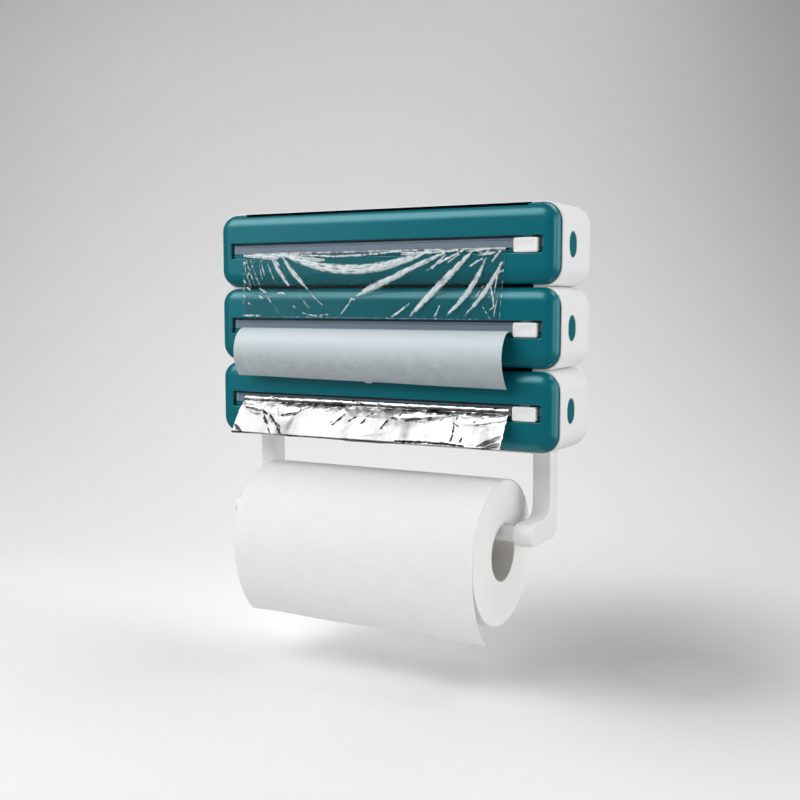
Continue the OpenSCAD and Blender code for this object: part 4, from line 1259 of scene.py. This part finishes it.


# Folds of the foil that face away from the light: listed marks, and rows like the film's creases
FOIL_FOLDS = (
    *marked(FOIL_STRIP, LEFT_CROP, (
        (210, 155, 500, 172, 0, 18, 0.85),
    )),
    (0.153, 0.355, 0.285, 0.335, 0.0, 6.0, 1.0), (0.250, 0.345, 0.440, 0.335, 0.0, 6.5, 0.95),
    *marked(FOIL_STRIP, LEFT_CROP, (
        (470, 108, 600, 130, 0, 25, 0.9), (520, 140, 620, 172, 0, 30, 0.8),
        (1380, 165, 1480, 190, 0, 28, 0.9),
    )),
    (0.455, 0.22, 0.499, 0.36, 0.0, 2.3, 0.90),
    *marked(FOIL_STRIP, RIGHT_CROP, (
        (80, 185, 220, 190, 0, 20, 0.85), (220, 210, 300, 238, 0, 25, 0.9),
    )),
    (0.535, 0.35, 0.715, 0.35, 0.0, 7.5, 1.1), (0.695, 0.35, 0.860, 0.35, 0.0, 7.5, 1.1),
    (0.840, 0.355, 1.0, 0.345, 0.0, 6.0, 1.1),
    *marked(FOIL_STRIP, RIGHT_CROP, (
        (1070, 225, 1130, 245, 0, 28, 0.9), (1350, 262, 1460, 250, 0, 25, 0.7),
    )),
    *marked(FOIL_FLAP, LEFT_CROP, (
        (195, 215, 430, 265, 0, 45, 0.75), (265, 275, 400, 300, 0, 30, 0.4),
        (400, 250, 470, 300, 0, 25, 0.9), (430, 310, 480, 400, 0, 28, 0.8),
        (490, 300, 590, 410, 0, 42, 0.8), (480, 420, 510, 480, 0, 24, 0.55),
        (580, 420, 640, 500, 0, 34, 0.8), (610, 390, 630, 470, 0, 18, 0.8),
        (110, 395, 200, 480, 0, 60, 0.6), (620, 310, 830, 280, 6, 34, 0.7),
        (780, 320, 845, 245, 0, 17, 0.8), (580, 230, 600, 330, 0, 14, 0.45),
        (1150, 415, 1200, 375, 0, 16, 0.55), (1200, 415, 1345, 305, 0, 22, 0.85),
        (1370, 385, 1465, 340, 0, 16, 0.75),
    )),
    (0.498, 0.68, 0.510, 0.59, 0.0, 1.6, 0.80),
    *marked(FOIL_FLAP, RIGHT_CROP, (
        (80, 350, 165, 300, 0, 18, 0.8), (250, 470, 345, 345, 0, 22, 0.75),
        (310, 430, 390, 350, 0, 50, 0.3), (350, 350, 440, 365, 0, 28, 0.6),
        (430, 355, 455, 305, 0, 18, 0.9), (460, 362, 1000, 328, 14, 60, 0.8),
        (840, 385, 880, 350, 0, 18, 0.75), (590, 575, 765, 490, 0, 20, 0.22),
        (650, 580, 800, 525, 0, 60, 0.2), (720, 590, 850, 580, 0, 50, 0.22),
        (0, 530, 330, 505, 0, 34, 0.14), (1020, 330, 1005, 380, 0, 20, 0.7),
        (975, 410, 1030, 440, 0, 22, 0.7), (960, 520, 985, 430, 0, 22, 0.75),
        (935, 600, 965, 520, 0, 20, 0.8), (1020, 600, 1055, 550, 0, 22, 0.75),
        (1160, 435, 1470, 385, 0, 22, 0.5), (1230, 360, 1310, 335, 0, 25, 0.6),
        (1165, 405, 1200, 365, 0, 18, 0.6), (1150, 530, 1180, 470, 0, 20, 0.65),
        (1200, 625, 1420, 530, 0, 80, 0.65), (1240, 655, 1410, 600, 0, 80, 0.70),
    )),
    (0.203, 0.98, 0.375, 0.97, 0.0, 2.0, 0.80), (0.641, 0.945, 0.754, 0.915, 0.0, 3.6, 1.1),
    (0.754, 0.915, 0.885, 0.945, 0.0, 3.6, 1.1),
)


class DISPENSER_OT_foil(PieceOperator):
    """Build the crinkled foil that stands off the bottom slot"""

    bl_idname = "dispenser.foil"
    bl_label = "Foil"

    def execute(self, context):
        low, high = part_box("foil_tail")
        foil = Sheet(sheet_path("bottom", PATHS["foil"]), low.x, high.x, 560, 130)
        x, d = foil.uu * foil.width / MM, foil.vv * foil.length / MM
        x = x + 5 * clouds(foil.uu, foil.vv, 22, 3, 4)
        d = d + 4 * clouds(foil.uu, foil.vv, 18, 3, 5)
        busy = np.clip(0.5 + 1.1 * clouds(foil.uu, foil.vv, 7, 1, 12), 0.12, 1)
        rise = 0.045
        strokes = []
        for u0, v0, u1, v1, *rest in FOIL_FOLDS:
            strokes.append((u0, (v0 - rise) / (1 - rise), u1, (v1 - rise) / (1 - rise), *rest))
        folds = stroke_field(foil, strokes, 0.9, 31, 0.4, True)
        down = rise + (1 - rise) * foil.vv
        flap = np.clip((down - 0.40) * 6, 0, 1)
        strip = np.clip((down - 0.15) * 12, 0, 1) * (1 - flap)
        small = 0.5 * crumple(x, d, 13, 42) + 0.12 * crumple(x, d, 5, 43)
        height = 1.3 * crumple(x, d, 36, 41) + busy * small
        foil.lift += flap * MM * (height - 0.7 * folds * (1 + 0.4 * crumple(x, d, 3.2, 44)))
        small = 0.5 * crumple(x, d, 9, 45) + 0.25 * crumple(x, d, 3.5, 46)
        foil.lift += strip * MM * (small - 0.5 * folds)
        # Painted shade along the curled lower edge.
        under = np.clip((foil.vv - 0.975) * 60, 0, 1)
        small = 0.08 * crumple(x, d, 12, 48) + 0.03 * crumple(x, d, 4, 49)
        # Painted reflection tone: the flap is dimmed and varied facet by facet, and the strip above it is mottled.
        facets = flap * (0.47 + 0.10 * crumple(x, d, 34, 47) + busy * small)
        facets += strip * (0.22 + 0.22 * crumple(x, d, 9, 50) + 0.14 * crumple(x, d, 3.5, 51))
        # The foil's painted shade and reflection: folds, facets and edge together, kept as the crease value.
        shade = np.clip(np.maximum(facets + (0.60 - 0.18 * flap) * folds, 0.95 * under), 0, 1)
        foil.slide += MM * np.clip(foil.vv - 0.9, 0, 1) * 8 * clouds(foil.uu, foil.vv, 30, 0, 15)
        edges = np.clip(np.abs(foil.uu - 0.5) * 20 - 9, 0, 1)
        foil.sway += 1.2 * MM * edges * clouds(foil.uu, foil.vv, 2, 14, 16)
        hang("foil", foil, sizes().sheet_thickness, 24, shade)
        return {"FINISHED"}


class DISPENSER_OT_arms(PieceOperator):
    """Build the bent arms, their spring pegs and coils"""

    bl_idname = "dispenser.arms"
    bl_label = "Paper arms"

    def execute(self, context):
        for name, side in SIDES:
            self.arm(name, side)
            self.peg(name, side)
        return {"FINISHED"}

    def arm(self, name, side):
        s = sizes()
        low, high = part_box("right_arm")
        lip = 2 * MM
        start, end = low.x + lip, high.x - lip
        peg = peg_axis()
        nose = peg.y - low.y
        outline = self.outline(peg, nose, high.y - lip, high.z)
        r = s.arm_round
        rings = [(r * (1 - sin), start + r * (1 - cos)) for sin, cos in quarter(5)]
        rings += [(r * (1 - cos), end - r * (1 - sin)) for sin, cos in quarter(5)]
        bar = [self.inset(outline, inset, side * x) for inset, x in rings]
        foot = self.foot(low, high, lip, side)
        arm = solid(f"{name}_bracket_arm", [bar])
        hole, deep = 8.75 * MM, 17.3 * MM
        profile = [(side * (start - MM), hole), (side * (start + deep), hole)]
        carve(arm, [solid("bore", [turned(profile, peg.y, peg.z)])])
        dress(arm, "white_plastic", "root", [f"{name}_arm"], 35)
        plate = solid(f"{name}_arm_foot", [foot])
        dress(plate, "white_plastic", "root", [], 35)

    def outline(self, peg, nose, back, top):
        """The arm seen from its side: a bar that bends forward to a round nose."""
        inner, outer, thick = 13 * MM, 14 * MM, 19.6 * MM
        front, under, over = back - thick, peg.z - nose, peg.z + nose
        points = [(back, top), (front, top)]
        for a in np.linspace(0, -90, 13):
            t = math.radians(a)
            points.append((front - inner + inner * math.cos(t), over + inner + inner * math.sin(t)))
        for a in np.linspace(90, 270, 25):
            t = math.radians(a)
            points.append((peg.y + nose * math.cos(t), peg.z + nose * math.sin(t)))
        for a in np.linspace(-90, 0, 13):
            t = math.radians(a)
            points.append((back - outer + outer * math.cos(t), under + outer + outer * math.sin(t)))
        return points

    def inset(self, outline, depth, x):
        """The outline drawn inwards by a depth, at a place along X."""
        count = len(outline)
        made = []
        for i, (y, z) in enumerate(outline):
            before, after = Vector(outline[i - 1]), Vector(outline[(i + 1) % count])
            here = Vector((y, z))
            first, second = (here - before).normalized(), (after - here).normalized()
            normals = [Vector((-d.y, d.x)) for d in (first, second)]
            mitre = normals[0] + normals[1]
            mitre /= max(mitre.dot(normals[0]), 0.3)
            made.append((x, y + depth * mitre.x, z + depth * mitre.y))
        return made

    def foot(self, low, high, lip, side):
        """Rings of the flat foot under the bottom shell."""
        x, y = side * (low.x + high.x) / 2, high.y - lip - 9.8 * MM
        half_x, half_y = (high.x - low.x) / 2, 9.8 * MM + lip
        rings = []
        for inset, z in ((0.6 * MM, high.z - 2 * MM), (0, high.z - 1.4 * MM), (0, high.z)):
            outline = rounded_outline(half_x - inset, half_y - inset, 2.5 * MM, 6)
            rings.append([(x + a, y + b, z) for a, b in outline])
        return rings

    def peg(self, name, side):
        s = sizes()
        low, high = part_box("right_peg")
        peg = peg_axis()
        r, ease, bore = 7.5 * MM, 1.6 * MM, 4.6 * MM
        flange, thick, floor = 8.65 * MM, 2 * MM, 5 * MM
        profile = [(low.x, 0.4 * MM)]
        profile += [(low.x + ease * (1 - cos), r - ease * (1 - sin)) for sin, cos in quarter(6)]
        profile += [(high.x - thick, r), (high.x - thick, flange), (high.x, flange), (high.x, bore)]
        profile += [(low.x + floor, bore), (low.x + floor, 0.4 * MM)]
        rings = turned([(side * x, radius) for x, radius in profile], peg.y, peg.z)
        piece = solid(f"{name}_spring_peg", [rings])
        dress(piece, "white_plastic", f"{name}_peg", [f"{name}_peg"], 40)
        start, end = low.x + floor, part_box("peg_springs")[1].x
        radius = 4.3 * MM - s.coil_wire / 2
        rings = coil_rings(side * start, side * end, peg.y, peg.z, radius, s.coil_wire, 14)
        coil = solid(f"{name}_peg_coil", [rings])
        dress(coil, "spring_steel", "root", ["peg_springs"], 60)
        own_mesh(coil)


def peg_axis():
    """Centre of the right peg, which both pegs share along X."""
    low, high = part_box("right_peg")
    return (low + high) / 2


def emboss(x, along):
    """Rows of soft dots pressed into kitchen paper, from 0 to 1."""
    pitch = sizes().emboss_pitch
    a, b = math.pi * x / pitch, math.pi * along / pitch
    return np.clip(np.cos(a + b) * np.cos(a - b), 0, 1) ** 1.5


class DISPENSER_OT_kitchen_paper(PieceOperator):
    """Build the kitchen paper roll and its loose end"""

    bl_idname = "dispenser.kitchen_paper"
    bl_label = "Kitchen paper"

    def execute(self, context):
        low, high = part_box("towel_roll")
        y, z, outer = (low.y + high.y) / 2, (low.z + high.z) / 2, (high.z - low.z) / 2
        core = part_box("towel_core")
        inner = (core[1].z - core[0].z) / 2 + 0.1 * MM
        depth = sizes().emboss_depth
        profile = wound_profile(low.x, high.x, inner, outer, 22, 240, 0.45 * MM, 17)

        def shape(x, a, r):
            share = min(1, max(0, (r - outer + 1 * MM) / MM))
            soft = 0.35 * MM * (noise.noise((x * 18, 3 * math.sin(a), 3 * math.cos(a))) - 0.7)
            layer = 0.2 * MM * math.sin(a + 2 * r / MM)
            return share * (soft - depth * emboss(x, a * outer)) + (1 - share) * layer

        roll = solid("kitchen_paper_winding", [turned(profile, y, z, 360, shape)], closed=True)
        dress(roll, "kitchen_paper", "towel_roll", ["towel_roll"], 60)
        self.loose_end(low.x, high.x, y, z, outer)
        return {"FINISHED"}

    def loose_end(self, left, right, y, z, outer):
        """The outermost turn comes off the roll's back, passes over it and hangs off its front."""
        s = sizes()
        wrap = []
        for share in np.linspace(0, 1, 60):
            a = math.radians(70 - 160 * share)
            r = outer + min(0.35, -1.0 + 9 * share) * MM
            wrap.append((y + r * math.sin(a), z + r * math.cos(a)))
        start = Vector(wrap[-1])
        drop, back = 80.0 * MM, 31.6 * MM
        ends = [start, start + Vector((0, -0.37 * drop)), start + Vector((0.33 * back, -0.78 * drop)),
                start + Vector((back, -drop))]
        path = wrap[:-1] + [tuple(p) for p in bezier(ends, 40)]
        end = Sheet(path, left, right, 260, 260)
        x, along = end.left + end.uu * end.width, end.vv * end.length
        end.lift -= s.emboss_depth * emboss(x, along)
        free = np.clip((end.vv - 0.72) / 0.28, 0, 1)
        end.lift += free * 1.2 * MM * clouds(end.uu, end.vv, 4, 2, 14)
        teeth = np.abs(np.mod(end.uu * 64, 1) - 0.5)
        end.slide += 0.6 * MM * teeth * np.clip((end.vv - 0.98) * 50, 0, 1)
        piece = end.build("kitchen_paper_loose_end", s.paper_thickness)
        dress(piece, "kitchen_paper", "root", ["towel_tail"], 70)


class DISPENSER_OT_fittings(PieceOperator):
    """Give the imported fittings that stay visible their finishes"""

    bl_idname = "dispenser.fittings"
    bl_label = "Fittings"

    def execute(self, context):
        slots = {row["node"]: row["material_slot"] for row in frame["record"]["subparts"]}
        for node, thing in frame["nodes"].items():
            if thing.hide_render:
                continue
            thing.data.materials.clear()
            thing.data.materials.append(finish_of(slots[node]))
        return {"FINISHED"}


class DISPENSER_OT_stage(PieceOperator):
    """Build the floor, backdrop, lights and camera"""

    bl_idname = "dispenser.stage"
    bl_label = "Stage"

    def execute(self, context):
        scene = context.scene
        look = Vector((-0.47611, 0.87471, -0.09059)).normalized()
        eye = Vector((0.54298, -1.03809, 0.02583))
        self.camera(scene, eye, look)
        self.backdrop(look)
        self.lights()
        self.world(scene)
        scene.view_settings.view_transform = "Standard"
        return {"FINISHED"}

    def camera(self, scene, place, look):
        data = bpy.data.cameras.new("camera")
        data.lens, data.sensor_width = 49.1, 36
        camera = bpy.data.objects.new("camera", data)
        camera.location = place
        camera.rotation_mode = "QUATERNION"
        camera.rotation_quaternion = look.to_track_quat("-Z", "Y")
        scene.collection.objects.link(camera)
        scene.camera = camera

    def backdrop(self, look):
        """A pale floor that sweeps up behind the dispenser and is clear from behind."""
        floor, bend, wide, front, back, high = -0.345, 0.9, 4.0, -2.6, 0.45, 2.6
        profile = [(front, floor)]
        profile += [(back + bend * sin, floor + bend * (1 - cos)) for sin, cos in quarter(24)]
        profile += [(back + bend, high)]
        across = Vector((look.x, look.y)).normalized()
        side = Vector((across.y, -across.x))
        verts, faces = [], []
        for away, z in profile:
            for s in (-wide, wide):
                spot = across * away + side * s
                verts.append((spot.x, spot.y, z))
        for i in range(len(profile) - 1):
            faces.append((2 * i, 2 * i + 1, 2 * i + 3, 2 * i + 2))
        mesh = bpy.data.meshes.new("backdrop")
        mesh.from_pydata(verts, [], faces)
        mesh.shade_smooth()
        mesh.materials.append(self.paint())
        sweep = show("backdrop", mesh)
        sweep.visible_glossy = False

    def paint(self):
        """Matt floor paint with a painted soft shadow on the floor to the right of the dispenser, which lets views
        from behind through.
        """
        rgb = tuple(colours().floor)
        finish = Finish("floor_paint_with_painted_shadow")
        # Painted shadow: the floor is painted darker towards a spot to the right of the dispenser.
        dim = self.falloff(finish, Vector((0.28, 0.03, -0.345)), 0.45)
        finish.tint(dim, rgb, shade_of(rgb, 0.58), 0.0, 0.75)
        finish.set(Roughness=0.85, Specular_IOR_Level=0.2)
        clear = finish.add("ShaderNodeBsdfTransparent")
        mixed = finish.add("ShaderNodeMixShader")
        behind = finish.add("ShaderNodeNewGeometry")
        finish.join(behind.outputs["Backfacing"], mixed.inputs[0])
        finish.join(finish.shader.outputs["BSDF"], mixed.inputs[1])
        finish.join(clear.outputs["BSDF"], mixed.inputs[2])
        finish.join(mixed.outputs["Shader"], finish.nodes["Material Output"].inputs["Surface"])
        return finish.material

    def falloff(self, finish, centre, reach):
        """A value that falls from 1 at a centre to 0 at a distance."""
        scale = (1 / reach, 1 / reach, 1 / reach)
        mapping = finish.add("ShaderNodeMapping", Scale=scale, Location=-centre / reach)
        falloff = finish.add("ShaderNodeTexGradient")
        falloff.gradient_type = "QUADRATIC_SPHERE"
        finish.join(finish.place, mapping.inputs["Vector"])
        finish.join(mapping.outputs["Vector"], falloff.inputs["Vector"])
        return falloff.outputs["Fac"]

    def lights(self):
        """Soft boxes above, at the left, at the right and behind: place, sizes, power and spread."""
        aim = Vector((0, -0.05, -0.10))
        boxes = (
            ("overhead", (-0.70, -1.14, 1.16), 1.7, 1.2, 12.6, 120),
            ("front_left", (-1.10, -1.30, 0.90), 1.2, 0.8, 1.8, 140),
            ("left_card", (-1.15, -1.35, 0.32), 0.7, 0.9, 1.0, 150),
            ("right", (1.45, 0.30, 0.10), 1.5, 1.4, 4.0, 90),
            ("strip", (1.45, -0.78, 0.10), 0.45, 1.1, 0.42, 50),
            ("back", (0.55, 0.60, 1.3), 1.8, 0.6, 7.6, 140),
        )
        for name, place, wide, tall, power, spread in boxes:
            data = bpy.data.lights.new(name, "AREA")
            data.shape, data.size, data.size_y, data.energy = "RECTANGLE", wide, tall, power
            data.spread = math.radians(spread)
            light = bpy.data.objects.new(name, data)
            light.location = place
            light.rotation_mode = "QUATERNION"
            light.rotation_quaternion = (aim - Vector(place)).to_track_quat("-Z", "Y")
            bpy.context.scene.collection.objects.link(light)

    def world(self, scene):
        """A pale surround for the camera and a dim one for the light."""
        world = bpy.data.worlds.new("surround")
        world.use_nodes = True
        scene.world = world
        nodes, links = world.node_tree.nodes, world.node_tree.links
        sky = nodes["Background"]
        seen = nodes.new("ShaderNodeBackground")
        mixed = nodes.new("ShaderNodeMixShader")
        ray = nodes.new("ShaderNodeLightPath")
        sky.inputs["Color"].default_value = (0.08, 0.08, 0.08, 1)
        seen.inputs["Color"].default_value = (0.64, 0.64, 0.64, 1)
        links.new(ray.outputs["Is Camera Ray"], mixed.inputs[0])
        links.new(sky.outputs["Background"], mixed.inputs[1])
        links.new(seen.outputs["Background"], mixed.inputs[2])
        links.new(mixed.outputs["Shader"], nodes["World Output"].inputs["Surface"])


OPERATORS = (
    DISPENSER_OT_stage, DISPENSER_OT_shells, DISPENSER_OT_covers, DISPENSER_OT_rails,
    DISPENSER_OT_cutters, DISPENSER_OT_buttons, DISPENSER_OT_windings, DISPENSER_OT_runs,
    DISPENSER_OT_film, DISPENSER_OT_parchment, DISPENSER_OT_foil, DISPENSER_OT_arms,
    DISPENSER_OT_kitchen_paper, DISPENSER_OT_fittings,
)


class DISPENSER_PT_panel(bpy.types.Panel):
    """Lists the dispenser's pieces in the sidebar"""

    bl_idname = "DISPENSER_PT_panel"
    bl_label = "Dispenser"
    bl_space_type = "VIEW_3D"
    bl_region_type = "UI"
    bl_category = "Dispenser"

    def draw(self, context):
        for operator in OPERATORS:
            self.layout.operator(operator.bl_idname)
        for group in (context.scene.dispenser_sizes, context.scene.dispenser_colours):
            column = self.layout.column()
            for key in group.__annotations__:
                column.prop(group, key)


CLASSES = (DispenserSizes, DispenserColours, *OPERATORS, DISPENSER_PT_panel)


def register():
    for cls in CLASSES:
        bpy.utils.register_class(cls)
    bpy.types.Scene.dispenser_sizes = bpy.props.PointerProperty(type=DispenserSizes)
    bpy.types.Scene.dispenser_colours = bpy.props.PointerProperty(type=DispenserColours)


def unregister():
    del bpy.types.Scene.dispenser_colours
    del bpy.types.Scene.dispenser_sizes
    for cls in reversed(CLASSES):
        bpy.utils.unregister_class(cls)


def main():
    """Registers the add-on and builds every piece."""
    register()
    for operator in OPERATORS:
        group, name = operator.bl_idname.split(".")
        getattr(getattr(bpy.ops, group), name)()


if __name__ == "__main__":
    main()
